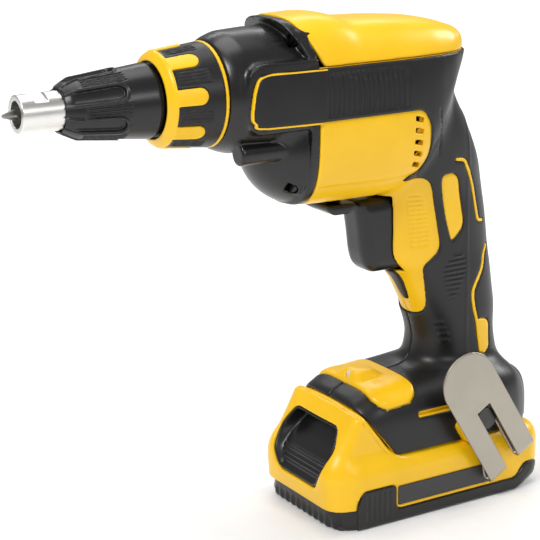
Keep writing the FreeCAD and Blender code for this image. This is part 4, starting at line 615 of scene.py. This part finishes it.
def rubber_raise(g):
    """Ribs and grooves of the band and the handle, as heights above the rubber's face."""
    band = both(span(g.x, BAND.rib_rear, BAND.rib_front), span(g.z, BAND.rib_low, BAND.rib_high))
    wave = np.sin(g.x * FULL_TURN / BAND.rib_pitch) - BAND.rib_sink
    rise = BAND.rib_rise * ramp(band, BAND.rib_step) * wave
    rise = rise + ribs_on(side_plan(g, HANDLE_RIBS, GRIP.corner), g.z, GRIP)
    for along, high in SHORT_RIBS:
        ahead = np.abs(g.x - along) - GRIP.short_half
        bar = both(ahead, np.abs(g.z - high) - GRIP.short_thick)
        rise = rise + GRIP.short_rise * ramp(bar, GRIP.short_step)
    seam = stroke(g.x, g.z, TAIL_SEAM) - GRIP.seam_half
    return rise - GRIP.seam_deep * ramp(seam, GRIP.seam_step)


COVER = Sizes(
    rear=7, front=33.5, half=30.5, corner=8, rise=1.6, low=56, high=80, hood_rear=16,
    hood_front=32.2, hood_half=9.8, hood_top=74.2, hood_low=58, hood_edge=6, hood_fillet=3,
    hole=1.7, hole_z=70.7, hole_rear=26, hole_edge=0.3, root=0.8, edge=1.4,
)
COVER_GRID = ((5, -33, 55), (39, 33, 76), 0.5)


def cover_plan(g, extra=0):
    """The outline of the foot's cover seen from above."""
    middle = (COVER.rear + COVER.front) / 2
    ahead = np.abs(g.x - middle) - (COVER.front - COVER.rear) / 2 + COVER.corner
    across = g.out - COVER.half + COVER.corner
    corner = np.hypot(np.maximum(ahead, 0), np.maximum(across, 0)) - COVER.corner - extra
    return both(corner + either(both(ahead, across), 0), span(g.z, COVER.low, COVER.high))


RUBBER = Sizes(
    corner=3, window_corner=2.5, window_rear=-8, lozenge_gap=0.3, gap=0.2, root=0.8, edge=0.8,
    seam_gap=0.1, pad_gap=0.4, pad_edge=0.3,
)


def make_rubber(side, name, *nodes):
    g = Grid(*BAND_GRID)
    outer = shell_form(g)
    edge = side_plan(g, RUBBER_EDGE, RUBBER.corner)
    if side > 0:
        window = outline(g.y, g.z, fillet(FINGER_WINDOW, RUBBER.window_corner))
        edge = either(edge, both(window, RUBBER.window_rear - g.x))
    edge = both(edge, RUBBER.lozenge_gap - side_plan(g, LOZENGE, RELIEF.lozenge_corner))
    for line in (BACK_PIPING, LOW_PIPING):
        edge = both(edge, PIPING.half - stroke(g.x, g.z, line))
    edge = both(edge, RUBBER.gap - side_plan(g, HEEL_BLOCK, PIPING.heel_corner))
    edge = both(edge, -cover_plan(g, RUBBER.gap))
    edge = both(edge, -slit_plan(g))
    face = outer - S.skin - rubber_raise(g)
    field = meet(both(face, -outer - RUBBER.root), edge, RUBBER.edge)
    field = both(field, g.z - S.seam + RUBBER.seam_gap)
    field = carve(field, both(hook_boss(g) - RUBBER.pad_gap, HOOK.pad_root - g.y), RUBBER.pad_edge)
    field = both(common_cuts(field, g), -g.y)
    piece_of(name, field, g, "housing", "black_rubber", *nodes, keep=0.45, side=side)


PIPING = Sizes(half=0.9, heel_corner=2, rise=1.25, root=0.6, edge=0.5)
PIPING_GRID = ((-74, 0, 70), (-18, 24, 188), 0.6)


def make_piping(side, name):
    """Yellow lines and the heel block, set into the rubber."""
    g = Grid(*PIPING_GRID)
    outer = shell_form(g)
    lines = either(stroke(g.x, g.z, BACK_PIPING), stroke(g.x, g.z, LOW_PIPING)) - PIPING.half
    plan = either(lines, side_plan(g, HEEL_BLOCK, PIPING.heel_corner))
    field = meet(both(outer - PIPING.rise, -outer - PIPING.root), plan, PIPING.edge)
    piece_of(name, both(field, -g.y), g, "housing", "yellow_plastic", side=side)


CAP_RAKE = ((64, 239.5), (76.5, 263))
CAP = Sizes(gap=0.2, edge=0.8, rake_edge=1.2)
CAP_GRID = ((-34, -33, 238), (78, 33, 264), 0.7)


def make_cap():
    g = Grid(*CAP_GRID)
    outer = body_form(g)
    field = meet(outer, S.seam + CAP.gap - g.z, CAP.edge)
    field = meet(field, -plane(g.x, g.z, *CAP_RAKE), CAP.rake_edge)
    field = both(field, -outer - S.wall)
    piece_of("cap_yellow", field, g, "housing", "yellow_plastic", "top_cap")


TRIM = Sizes(half=0.45, rise=1.3, root=1.2, edge=0.3)
TRIM_GRID = ((60, 26, 210), (108, 34, 241), 0.5)


def make_trim(side, name):
    """Yellow line round the front end of the side band."""
    g = Grid(*TRIM_GRID)
    outer = body_form(g)
    line = stroke(g.x, g.z, PINSTRIPE) - TRIM.half
    field = meet(both(outer - TRIM.rise, -outer - TRIM.root), line, TRIM.edge)
    piece_of(name, field, g, "housing", "yellow_plastic", side=side)


# Gear case and nose

CASE = Sizes(
    radius=30.3, front=113.9, shoulder=104.9, shoulder_radius=29.5, face=110.5, face_radius=27.6,
    nose_radius=25.5, spigot=20, spigot_front=124.2, snout=15, snout_front=141.2, bore=11,
    wall=3.1, inside=103.9, cheek=30.2, cheek_low=210.6, cheek_high=243.8, cheek_front=106.5,
    cheek_corner=9, belly=29.7, belly_x=62, belly_long=30, boss=5.7, boss_y=17, boss_z=200,
    boss_front=106, post_front=74.6, sink=3.2, sink_rear=71.6, sink_front=79, rear=40, inner=-9,
    straight=91, corner=1.5, swell_fillet=6, cheek_fillet=2, boss_edge=1.2, boss_fillet=0.8,
    arch_fillet=1.2, post_fillet=1, sink_edge=0.4, spigot_rear=104, bore_rear=95, bore_edge=0.6,
    gap=0.2,
)
CASE_GRID = ((67, -32, 165), (142, 32, 264), 0.7)
ARCH = Sizes(
    rear=(64.3, S.seam), rear_top=(76.8, 263), front=(70.5, S.seam), front_top=(82, 263),
    inset=0.6, drop=2, lip_inset=0.2, lip_front=72.5,
)


def case_drum(g):
    """The round front of the gear case with its cheeks and the swelling over the motor's end."""
    profile = ((CASE.rear, CASE.inner), (CASE.rear, CASE.radius), (CASE.straight, CASE.radius),
               (CASE.shoulder, CASE.shoulder_radius), (CASE.face, CASE.face_radius),
               (CASE.front, CASE.nose_radius), (CASE.front, CASE.inner))
    drum = turned(g, fillet(profile, CASE.corner))
    cheek = ((CASE.rear, CASE.cheek_low), (CASE.cheek_front, CASE.cheek_low),
             (CASE.cheek_front, CASE.cheek_high), (CASE.rear, CASE.cheek_high))
    cheeks = both(g.out - CASE.cheek, side_plan(g, cheek, CASE.cheek_corner))
    swell = np.hypot(np.hypot(g.y, g.z - S.motor) / CASE.belly, (g.x - CASE.belly_x) / CASE.belly_long)
    return meld(meld(drum, g.even(swell - 1), CASE.swell_fillet), cheeks, CASE.cheek_fillet)


def case_arch(g):
    """The rim of the gear case in front of the cap, and the lip beside the yellow panel."""
    body = body_form(g)
    behind = plane(g.x, g.z, ARCH.rear, ARCH.rear_top)
    ahead = -plane(g.x, g.z, ARCH.front, ARCH.front_top)
    arch = both(both(body + ARCH.inset, S.seam - ARCH.drop - g.z), both(behind, ahead))
    lip = both(both(body + ARCH.lip_inset, g.z - S.seam), g.x - ARCH.lip_front)
    return arch, lip


CASE_SCREWS = (((19, 251.5), 6), ((17.5, 181), 4.2))


def make_gear_case():
    g = Grid(*CASE_GRID)
    field = case_drum(g)
    boss = rod_field(g.y, g.z, (CASE.boss_y, CASE.boss_z), CASE.boss)
    field = meld(field, meet(boss, span(g.x, S.joint, CASE.boss_front), CASE.boss_edge), CASE.boss_fillet)
    for edge in case_arch(g):
        field = meld(field, edge, CASE.arch_fillet)
    field = both(field, -both(field + CASE.wall, g.x - CASE.inside))
    for place, radius in CASE_SCREWS:
        post = both(rod_field(g.out, g.z, place, radius), g.x - CASE.post_front)
        sink = rod_field(g.out, g.z, place, CASE.sink)
        sink = both(sink, span(g.x, CASE.sink_rear, CASE.sink_front))
        field = carve(meld(field, post, CASE.post_fillet), sink, CASE.sink_edge)
    line = np.hypot(g.y, g.z - S.drive)
    spigot = both(line - CASE.spigot, g.x - CASE.spigot_front)
    snout = both(line - CASE.snout, g.x - CASE.snout_front)
    field = either(field, both(either(spigot, snout), CASE.spigot_rear - g.x))
    field = carve(field, both(line - CASE.bore, CASE.bore_rear - g.x), CASE.bore_edge)
    field = both(field, S.joint + CASE.gap - g.x)
    piece_of("gear_case_shell", field, g, "housing", "charcoal_plastic", "gear_case")


COLLAR = Sizes(
    rear=114.3, ring=115.8, drum_rear=25.3, drum_front=22.75, front=140.2, bore=18.3, core=21,
    round_x=140.9, round_r=22.5, bevel_x=142.2, bevel_r=20.8, face=143.6, face_r=18.9, fingers=8,
    turn=-36.5 / 45, finger_rear=124.6, finger_half=4.1, finger_rise=0.45, mid=24, rib_half=3.2,
    rib_rear=122, rib_front=138, rib_pitch=1.6, rib_rise=0.35, rib_step=0.6, lip=1, lip_rise=0.4,
    corner=0.6, rear_rise=0.2, edge=0.5, core_gap=0.1, finger_gap=0.25, finger_edge=0.4,
)
COLLAR_GRID = ((114, -26, 201.5), (144, 26, 253.5), 0.45)


def drum_radius(x):
    share = (x - COLLAR.ring) / (COLLAR.front - COLLAR.ring)
    return COLLAR.drum_rear + (COLLAR.drum_front - COLLAR.drum_rear) * share


def around(g, count, shift=0):
    """Angle from the middle of the nearest of several equal parts round the spindle line."""
    angle = np.arctan2(g.y, g.z - S.drive) / FULL_TURN * count + shift
    return (angle - np.round(angle)) * FULL_TURN / count


def finger_plan(g, half):
    """Fingers of the collar, rolled out flat: a long shape with a round rear end."""
    across = around(g, COLLAR.fingers, COLLAR.turn) * COLLAR.mid
    ahead = np.maximum(COLLAR.finger_rear + half - g.x, 0)
    return np.hypot(ahead, across) - half


def make_collar():
    g = Grid(*COLLAR_GRID)
    line = np.hypot(g.y, g.z - S.drive)
    lip = COLLAR.front - COLLAR.lip
    profile = ((lip, COLLAR.bore), (lip, COLLAR.drum_front + COLLAR.lip_rise),
               (COLLAR.round_x, COLLAR.round_r), (COLLAR.bevel_x, COLLAR.bevel_r),
               (COLLAR.face, COLLAR.face_r), (COLLAR.face, COLLAR.bore))
    ring = turned(g, fillet(profile, COLLAR.corner))
    rear = both(span(g.x, COLLAR.rear, COLLAR.ring), line - COLLAR.drum_rear - COLLAR.rear_rise)
    core = both(span(g.x, COLLAR.rear, COLLAR.front), line - COLLAR.core)
    fingers = both(finger_plan(g, COLLAR.finger_half), g.x - COLLAR.front)
    fingers = meet(fingers, line - drum_radius(g.x) - COLLAR.finger_rise, COLLAR.edge)
    field = either(either(ring, rear), either(core, fingers))
    field = both(field, COLLAR.bore - line)
    piece_of("collar_yellow", field, g, "lock_collar", "yellow_plastic", "lock_collar")
    across = around(g, COLLAR.fingers, COLLAR.turn + 0.5) * COLLAR.mid
    pads = both(np.abs(across) - COLLAR.rib_half, span(g.x, COLLAR.rib_rear, COLLAR.rib_front))
    drum = line - drum_radius(g.x) - ribs_on(pads, across, COLLAR)
    drum = meet(drum, span(g.x, COLLAR.ring, COLLAR.front), COLLAR.edge)
    drum = both(drum, COLLAR.core + COLLAR.core_gap - line)
    drum = carve(drum, finger_plan(g, COLLAR.finger_half + COLLAR.finger_gap), COLLAR.finger_edge)
    piece_of("collar_drum", drum, g, "lock_collar", "black_rubber", "collar_grip")


SLEEVE = Sizes(
    rear=145.6, rear_r=18, front=183, front_r=14, rim=186.5, rim_r=12.3, face=190, face_r=10.3,
    neck=143, neck_r=16.6, bore=13.2, step=164, throat=9.8, pads=6, pad_rear=165.4, pad_front=200,
    pad_half=3.4, pad_deep=1.4, pad_rim=0.7, rib_rear=160, rib_front=181, rib_half=3.2,
    rib_rise=0.4, rib_step=0.8, rib_pitch=1.6, mid=15.5, rim_place=0.9, rim_half=0.6, rim_step=0.8,
    corner=0.8, pad_edge=0.5,
)
SLEEVE_GRID = ((142.5, -18.6, 208.8), (190.5, 18.6, 246.2), 0.4)


def make_sleeve():
    g = Grid(*SLEEVE_GRID)
    line = np.hypot(g.y, g.z - S.drive)
    profile = ((SLEEVE.neck, 0), (SLEEVE.neck, SLEEVE.neck_r), (SLEEVE.rear, SLEEVE.neck_r),
               (SLEEVE.rear, SLEEVE.rear_r), (SLEEVE.front, SLEEVE.front_r), (SLEEVE.rim, SLEEVE.rim_r),
               (SLEEVE.face, SLEEVE.face_r), (SLEEVE.face, 0))
    field = turned(g, fillet(profile, SLEEVE.corner))
    share = (g.x - SLEEVE.rear) / (SLEEVE.front - SLEEVE.rear)
    radius = SLEEVE.rear_r + (SLEEVE.front_r - SLEEVE.rear_r) * share
    along = g.x - np.clip(g.x, SLEEVE.pad_rear, SLEEVE.pad_front)
    pill = np.hypot(along, around(g, SLEEVE.pads) * SLEEVE.mid) - SLEEVE.pad_half
    rim = np.abs(pill - SLEEVE.rim_place) - SLEEVE.rim_half
    field = field - SLEEVE.pad_rim * ramp(rim, SLEEVE.rim_step)
    field = carve(field, both(pill, radius - SLEEVE.pad_deep - line), SLEEVE.pad_edge)
    across = around(g, SLEEVE.pads, 0.5) * SLEEVE.mid
    pad = both(np.abs(across) - SLEEVE.rib_half, span(g.x, SLEEVE.rib_rear, SLEEVE.rib_front))
    field = field - ribs_on(pad, across, SLEEVE)
    inside = np.where(g.x < SLEEVE.step, SLEEVE.bore, SLEEVE.throat)
    field = both(field, inside - line)
    piece_of("sleeve_black", field, g, "depth_sleeve", "black_plastic", "depth_sleeve")


TIP = Sizes(
    rear=168, rear_r=9.5, front=210.3, front_r=8.9, bore=8.1, step=185.5, throat=6.3, flat=7.7,
    flat_rear=197, flat_front=203.5, flat_turn=math.radians(18), flat_edge=0.3, corner=0.5,
)
TIP_GRID = ((168, -10, 217.5), (210.5, 10, 237.5), 0.3)


def make_tip():
    g = Grid(*TIP_GRID)
    line = np.hypot(g.y, g.z - S.drive)
    profile = ((TIP.rear, 0), (TIP.rear, TIP.rear_r), (TIP.front, TIP.front_r), (TIP.front, 0))
    field = turned(g, fillet(profile, TIP.corner))
    field = both(field, np.where(g.x < TIP.step, TIP.bore, TIP.throat) - line)
    up = (g.z - S.drive) * math.cos(TIP.flat_turn) + g.y * math.sin(TIP.flat_turn)
    flat = both(TIP.flat - up, span(g.x, TIP.flat_rear, TIP.flat_front))
    field = carve(field, flat, TIP.flat_edge)
    piece_of("tip_steel", field, g, "nose_tip", "pale_steel", "nose_tip", keep=0.6)


# Trigger and lever

TRIGGER_SIDE = (
    (-4, 165.7), (30.6, 165.4), (30.6, 160), (28.7, 147), (27.6, 137), (25.6, 130), (21.5, 126.2),
    (8, 126), (-4, 126.2),
)
TRIGGER = Sizes(corner=3, half=10.5, edge=7, spring_gap=0.4, spring_end=0.1)
TRIGGER_GRID = ((-5, -11, 125), (32, 11, 167), 0.5)
LEVER_SIDE = ((34, 166), (51, 166), (51, 163.5), (47, 160.8), (38, 160.8), (34, 163.5))
LEVER = Sizes(
    corner=1.5, half=12, edge=2, stem_rear=38.5, stem_front=46.5, stem_half=3, stem_low=162,
    stem_high=171.5,
)
LEVER_GRID = ((33, -13, 160), (52, 13, 172), 0.4)


def make_trigger():
    g = Grid(*TRIGGER_GRID)
    side = side_plan(g, TRIGGER_SIDE, TRIGGER.corner)
    field = meet(side, g.out - TRIGGER.half, TRIGGER.edge)
    low, high = [np.array(corner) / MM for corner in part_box("trigger_spring")]
    middle = (low + high) / 2
    pocket = rod_field(g.y, g.z, middle[1:], (high[1] - low[1]) / 2 + TRIGGER.spring_gap)
    field = both(field, -both(pocket, g.x - high[0] - TRIGGER.spring_end))
    piece_of("trigger_black", field, g, "trigger", "black_plastic", "trigger")


def make_lever():
    g = Grid(*LEVER_GRID)
    side = side_plan(g, LEVER_SIDE, LEVER.corner)
    field = meet(side, g.out - LEVER.half, LEVER.edge)
    stem = both(span(g.x, LEVER.stem_rear, LEVER.stem_front), g.out - LEVER.stem_half)
    stem = both(stem, span(g.z, LEVER.stem_low, LEVER.stem_high))
    piece_of("lever_black", either(field, stem), g, "reverse_lever", "black_plastic", "reverse_lever")


# Foot fittings


def make_cover():
    g = Grid(*COVER_GRID)
    foot = shell_form(g)
    plate = meet(both(foot - COVER.rise, -foot - COVER.root), cover_plan(g), COVER.edge)
    hood = span(g.x, COVER.hood_rear, COVER.hood_front)
    hood = meet(hood, g.out - COVER.hood_half, COVER.hood_edge)
    hood = both(meet(hood, g.z - COVER.hood_top, COVER.hood_edge), COVER.hood_low - g.z)
    field = meld(plate, both(hood, -foot - COVER.root), COVER.hood_fillet)
    field = both(field, foot_slope(g))
    hole = rod_field(g.y, g.z, (0, COVER.hole_z), COVER.hole)
    field = carve(field, both(hole, COVER.hole_rear - g.x), COVER.hole_edge)
    piece_of("cover_yellow", field, g, "housing", "yellow_plastic", "foot_cover")


def hook_local(g):
    """Places across and along the leaning hook."""
    off_x = g.x - HOOK.x
    off_z = g.z - HOOK.z
    across = off_x * math.cos(HOOK.lean) - off_z * math.sin(HOOK.lean)
    along = off_x * math.sin(HOOK.lean) + off_z * math.cos(HOOK.lean)
    return across, along


def make_hook():
    g = Grid(*HOOK_GRID)
    across, along = hook_local(g)
    half = HOOK.sheet / 2
    bend = (HOOK.outer - HOOK.inner) / 2 - half
    middle = (HOOK.outer + HOOK.inner) / 2
    straight = np.abs(np.abs(g.y - middle) - bend)
    arc = np.abs(np.hypot(g.y - middle, along - bend - half) - bend)
    sheet = np.where(along > bend + half, straight, arc) - half
    top = HOOK.length - HOOK.half
    narrow = HOOK.half - curve((HOOK.narrow_from, HOOK.narrow_to), (HOOK.half, HOOK.leg_half), along)
    tongue = np.hypot(across, np.maximum(along - top, 0)) - HOOK.half + np.where(g.y < middle, narrow, 0)
    slot_end = np.where(g.y < middle, HOOK.leg_slot, HOOK.slot_top)
    slot = both(np.abs(across) - HOOK.slot, along - slot_end)
    leg = np.where(g.y < middle, along - HOOK.leg, -HOOK.length)
    plan = both(both(tongue, -slot), leg)
    field = meet(sheet, plan, HOOK.edge)
    hole = both(rod_field(g.x, g.z, HOOK_HOLE, HOOK.thread + HOOK.hole_gap), g.y - middle)
    field = both(field, -hole)
    piece_of("hook_plate", field, g, "housing", "pale_steel", "belt_hook", look="hook_steel")


# Battery pack

PACK = Sizes(
    front=61.5, rear=72.5, wide=37.5, front_corner=15, rear_corner=12, split=7, front_split=11,
    rear_split=14, deck=35.7, slope=(24, 36), slope_top=(42, 59.5), label_rear=-37,
    label_front=25, label_low=9, label_high=19.4, label_corner=1, label_gap=0.3, label_inner=37,
    deck_edge=11, tower_fillet=5, frame_corner=3, frame_inner=36.4, edge=0.4,
)
PACK_GRID = ((-74, -39, 6), (66, 39, 63), 0.7)
PACK_RAIL = Sizes(head=23, stem=19, low=40, top=46, rear=-57, front=26, root=30)
SPLIT_PLACES = (-66, -58, -52, 40, 50, 56)
BASE = Sizes(
    inset=0.6, scallop=0.5, scallop_rear=52, scallop_step=6, scallop_top=6, scallop_fade=4,
    scallop_pitch=5.5, edge=3, rear_edge=9, rear_place=58, rear_step=12, rib_rise=0.35,
    rib_rear=29, rib_front=47, rib_low=4, rib_high=19, rib_step=1, rib_pitch=3.2,
    rail_gap=0.2, rail_inner=36.5, rail_outer=38.1, rail_edge=0.6, rail_reach=0.8,
)
BASE_GRID = ((-74, -39, -0.5), (64, 39, 22.5), 0.6)
PLATE = Sizes(inner=36.9, outer=37.8, edge=0.4)
PLATE_GRID = ((-49, 36, 8), (26.5, 39, 20.5), 0.4)
PLATES = ((1, "label_plate_left", "pack_label_left"), (-1, "label_plate_right", "pack_label_right"))
BUTTON = Sizes(
    gap=0.4, lip=0.8, heights=(20, 25, 31, 36, 42, 49), depths=(1.5, 2.6, 3.4, 5, 8, 9), wall=2.2,
    wall_step=3.6, rib_rise=0.45, rib_low=25, rib_high=34, rib_inset=4, rib_step=1.5,
    rib_pitch=2.6, edge=0.6,
)
BUTTON_GRID = ((28, -26.5, 18.5), (66, 26.5, 53), 0.5)
RECESS = ((-20, 52), (20, 52), (25.5, 42), (23.5, 30), (18, 19.5), (-18, 19.5), (-23.5, 30), (-25.5, 42))
SIDE_FRAME = (
    (50.5, -2), (50.5, 14), (47, 21), (26, 20.8), (26, 7.3), (-52.5, 7.3), (-57, 11), (-58.6, 14.2),
    (-90, 14.2), (-90, -2),
)
TOWER = Sizes(
    half=31.4, half_low=32.6, top=60, arch=2.4, edge=9, edge_place=46, groove=3,
    groove_low=37, groove_half=0.35, groove_deep=0.6, groove_edge=0.3, recess_rear=14.4,
    recess_corner=4, recess_edge=1, button_rear=10.5, lean=0.84, corner=3,
)
TOWER_SIDE = (
    (14, 28), (23.6, 35.7), (42.2, 60.8), (46, 60.8), (62, 36.5), (64.6, 31), (64.8, 25), (63.4, 16),
    (62.3, 6), (14, 6),
)
TOWER_FRONT = ((6, 62.3), (16, 63.4), (25, 64.8), (31, 64.6), (36.5, 62), (60.8, 46))


def pack_plan(g, extra=0):
    """The outline of the pack seen from above."""
    corner = np.where(g.x > 0, PACK.front_corner, PACK.rear_corner)
    ahead = both(g.x - PACK.front, -PACK.rear - g.x) + corner
    across = g.out - PACK.wide + corner
    round_corner = np.hypot(np.maximum(ahead, 0), np.maximum(across, 0))
    return round_corner + either(both(ahead, across), 0) - corner - extra


def split_height(g):
    """Height of the line between the pack's upper shell and its base."""
    heights = np.repeat((PACK.rear_split, PACK.split, PACK.front_split), 2)
    return curve(SPLIT_PLACES, heights, g.x)


def front_depth(g):
    """How far a place lies behind the face of the pack's raised front."""
    heights, places = np.array(TOWER_FRONT).T
    return (curve(heights, places, g.z + TOWER.arch * (g.y / TOWER.half) ** 2) - g.x) * TOWER.lean


def label_plan(g):
    """The outline of the bare plates on the pack's sides."""
    across = span(g.x, PACK.label_rear, PACK.label_front)
    return meet(across, span(g.z, PACK.label_low, PACK.label_high), PACK.label_corner)


def tower_form(g):
    """The raised front of the pack, arched across its top."""
    arch = TOWER.arch * (g.y / TOWER.half) ** 2
    side = outline(g.x, g.z + arch, fillet(TOWER_SIDE, TOWER.corner))
    flank = plane(g.out, g.z, (TOWER.half, TOWER.top), (TOWER.half_low, PACK.deck))
    return meet(side, flank, TOWER.edge * ramp(TOWER.edge_place - g.x, TOWER.edge_place / 2) + S.edge)


def make_pack():
    g = Grid(*PACK_GRID)
    field = meld(meet(pack_plan(g), g.z - PACK.deck, PACK.deck_edge), tower_form(g), PACK.tower_fillet)
    rail_head = both(g.out - PACK_RAIL.head, span(g.z, PACK_RAIL.low, PACK_RAIL.top))
    rails = either(both(g.out - PACK_RAIL.stem, g.z - PACK_RAIL.top), rail_head)
    rails = both(rails, span(g.x, PACK_RAIL.rear, PACK_RAIL.front))
    field = either(field, both(rails, PACK_RAIL.root - g.z))
    ahead = -plane(g.x, g.z, PACK.slope, PACK.slope_top)
    groove = both(np.abs(ahead - TOWER.groove) - TOWER.groove_half, TOWER.groove_low - g.z)
    field = carve(field, both(groove, -field - TOWER.groove_deep), TOWER.groove_edge)
    field = both(field, split_height(g) - g.z)
    recess = outline(g.y, g.z, fillet(RECESS, TOWER.recess_corner))
    field = carve(field, both(recess, front_depth(g) - TOWER.recess_rear), TOWER.recess_edge)
    patch = side_plan(g, SIDE_FRAME, PACK.frame_corner)
    field = carve(field, both(patch, PACK.frame_inner - g.out), PACK.edge)
    label = both(label_plan(g) - PACK.label_gap, PACK.label_inner - g.out)
    field = carve(field, label, PACK.edge)
    piece_of("pack_yellow", field, g, "battery_pack", "yellow_plastic", "pack_upper_shell")


def make_base():
    g = Grid(*BASE_GRID)
    near_front = ramp(BASE.scallop_rear - g.x, BASE.scallop_step)
    near_floor = ramp(g.z - BASE.scallop_top, BASE.scallop_fade)
    scallop = BASE.scallop * near_front * near_floor * np.sin(g.y * FULL_TURN / BASE.scallop_pitch)
    soft = BASE.edge + BASE.rear_edge * ramp(g.x + BASE.rear_place, BASE.rear_step)
    field = meet(pack_plan(g, -BASE.inset) - scallop, -g.z, soft)
    field = both(field, g.z - split_height(g))
    pad = both(span(g.x, BASE.rib_rear, BASE.rib_front), span(g.z, BASE.rib_low, BASE.rib_high))
    ribs = ribs_on(pad, g.x, BASE)
    rail = side_plan(g, SIDE_FRAME, PACK.frame_corner) + BASE.rail_gap
    rail = both(rail, BASE.rail_inner - g.out)
    rail = meet(rail, g.out - BASE.rail_outer - ribs, BASE.rail_edge)
    rail = both(rail, meet(pack_plan(g, BASE.rail_reach), -g.z, soft))
    piece_of("base_black", either(field, rail), g, "battery_pack", "black_plastic", "pack_base")


def make_labels():
    for side, name, node in PLATES:
        g = Grid(*PLATE_GRID)
        field = meet(label_plan(g), span(g.y, PLATE.inner, PLATE.outer), PLATE.edge)
        piece_of(name, field, g, "battery_pack", "grey_plate", node, keep=0.4, side=side)


def make_button():
    g = Grid(*BUTTON_GRID)
    plan = outline(g.y, g.z, fillet(RECESS, TOWER.recess_corner)) + BUTTON.gap
    floor = curve(BUTTON.heights, BUTTON.depths, g.z)
    deep = BUTTON.lip + floor * ramp(plan + BUTTON.wall, BUTTON.wall_step)
    pad = both(span(g.z, BUTTON.rib_low, BUTTON.rib_high), plan + BUTTON.rib_inset)
    ribs = ribs_on(pad, g.z, BUTTON)
    depth = front_depth(g)
    field = meet(both(plan, depth - TOWER.button_rear), deep - ribs - depth, BUTTON.edge)
    piece_of("button_black", field, g, "release_button", "black_plastic", "release_button")


# Carried-over CAD pieces


def dress_inside():
    """Gives every CAD piece that stays in the picture a material of its slot."""
    slots = {part["node"]: part["material_slot"] for part in frame["record"]["subparts"]}
    for name, obj in frame["nodes"].items():
        obj.data.materials.clear()
        obj.data.materials.append(LOOKS[slots[name]])


# Stage, in metres. Each lamp has its name, place, size, power and the place it shines at

MIDDLE = (0.05, 0, 0.13)
LAMPS = (
    ("key", (1.1, 0.5, 1.3), 0.5, 14.0, MIDDLE),
    ("fill", (-0.1, 1.5, 0.9), 0.35, 4.0, MIDDLE),
    ("back", (-1.2, 0.1, 0.9), 0.5, 9.0, MIDDLE),
    ("top", (0.1, -0.4, 1.8), 1.2, 13.0, MIDDLE),
    ("far", (-0.8, -1.7, 1.6), 1.6, 34.0, (-1.2, -2.3, 0)),
)
SKY = 0.36
FLOOR = 4.0


def make_floor():
    corners = [(-FLOOR, -FLOOR, 0), (FLOOR, -FLOOR, 0), (FLOOR, FLOOR, 0), (-FLOOR, FLOOR, 0)]
    mesh = bpy.data.meshes.new("floor")
    mesh.from_pydata(corners, [], [(0, 1, 2, 3)])
    floor = bpy.data.objects.new("floor", mesh)
    bpy.context.scene.collection.objects.link(floor)
    mesh.materials.append(look_of("floor_paper", (0.9, 0.9, 0.9), 0.8, shade=0.01, grain=0.05))


def make_light(name, place, size, power, target):
    data = bpy.data.lights.new(name, "AREA")
    data.size = size
    data.energy = power
    lamp = bpy.data.objects.new(name, data)
    bpy.context.scene.collection.objects.link(lamp)
    lamp.location = place
    lamp.rotation_euler = (Vector(target) - Vector(place)).to_track_quat("-Z", "Y").to_euler()


def make_stage():
    make_floor()
    for lamp in LAMPS:
        make_light(*lamp)
    world = bpy.data.worlds.new("studio")
    world.use_nodes = True
    sky = world.node_tree.nodes["Background"]
    sky.inputs["Color"].default_value = (1, 1, 1, 1)
    sky.inputs["Strength"].default_value = SKY
    bpy.context.scene.world = world
    bpy.context.scene.view_settings.view_transform = "Standard"


def make_camera():
    data = bpy.data.cameras.new("camera")
    data.lens = CAMERA.lens
    data.sensor_width = CAMERA.sensor
    camera = bpy.data.objects.new("camera", data)
    bpy.context.scene.collection.objects.link(camera)
    place = Vector(CAMERA.place) * MM
    back = (place - Vector(CAMERA.target) * MM).normalized()
    right = Vector((0, 0, 1)).cross(back).normalized()
    axes = Matrix((right, back.cross(right), back)).transposed().to_4x4()
    roll = Matrix.Rotation(math.radians(CAMERA.roll), 4, "Z")
    camera.matrix_world = Matrix.Translation(place) @ axes @ roll
    bpy.context.scene.camera = camera


make_camera()
make_stage()
dress_inside()
make_housing(1, "housing_yellow_left", "housing_left")
make_housing(-1, "housing_yellow_right", "housing_right")
make_rubber(1, "rubber_left", "grip_left", "side_band_left")
make_rubber(-1, "rubber_right", "grip_right", "side_band_right")
make_piping(1, "piping_left")
make_piping(-1, "piping_right")
make_trim(1, "trim_left")
make_trim(-1, "trim_right")
make_cap()
make_gear_case()
make_collar()
make_sleeve()
make_tip()
make_trigger()
make_lever()
make_cover()
make_hook()
make_pack()
make_base()
make_labels()
make_button()
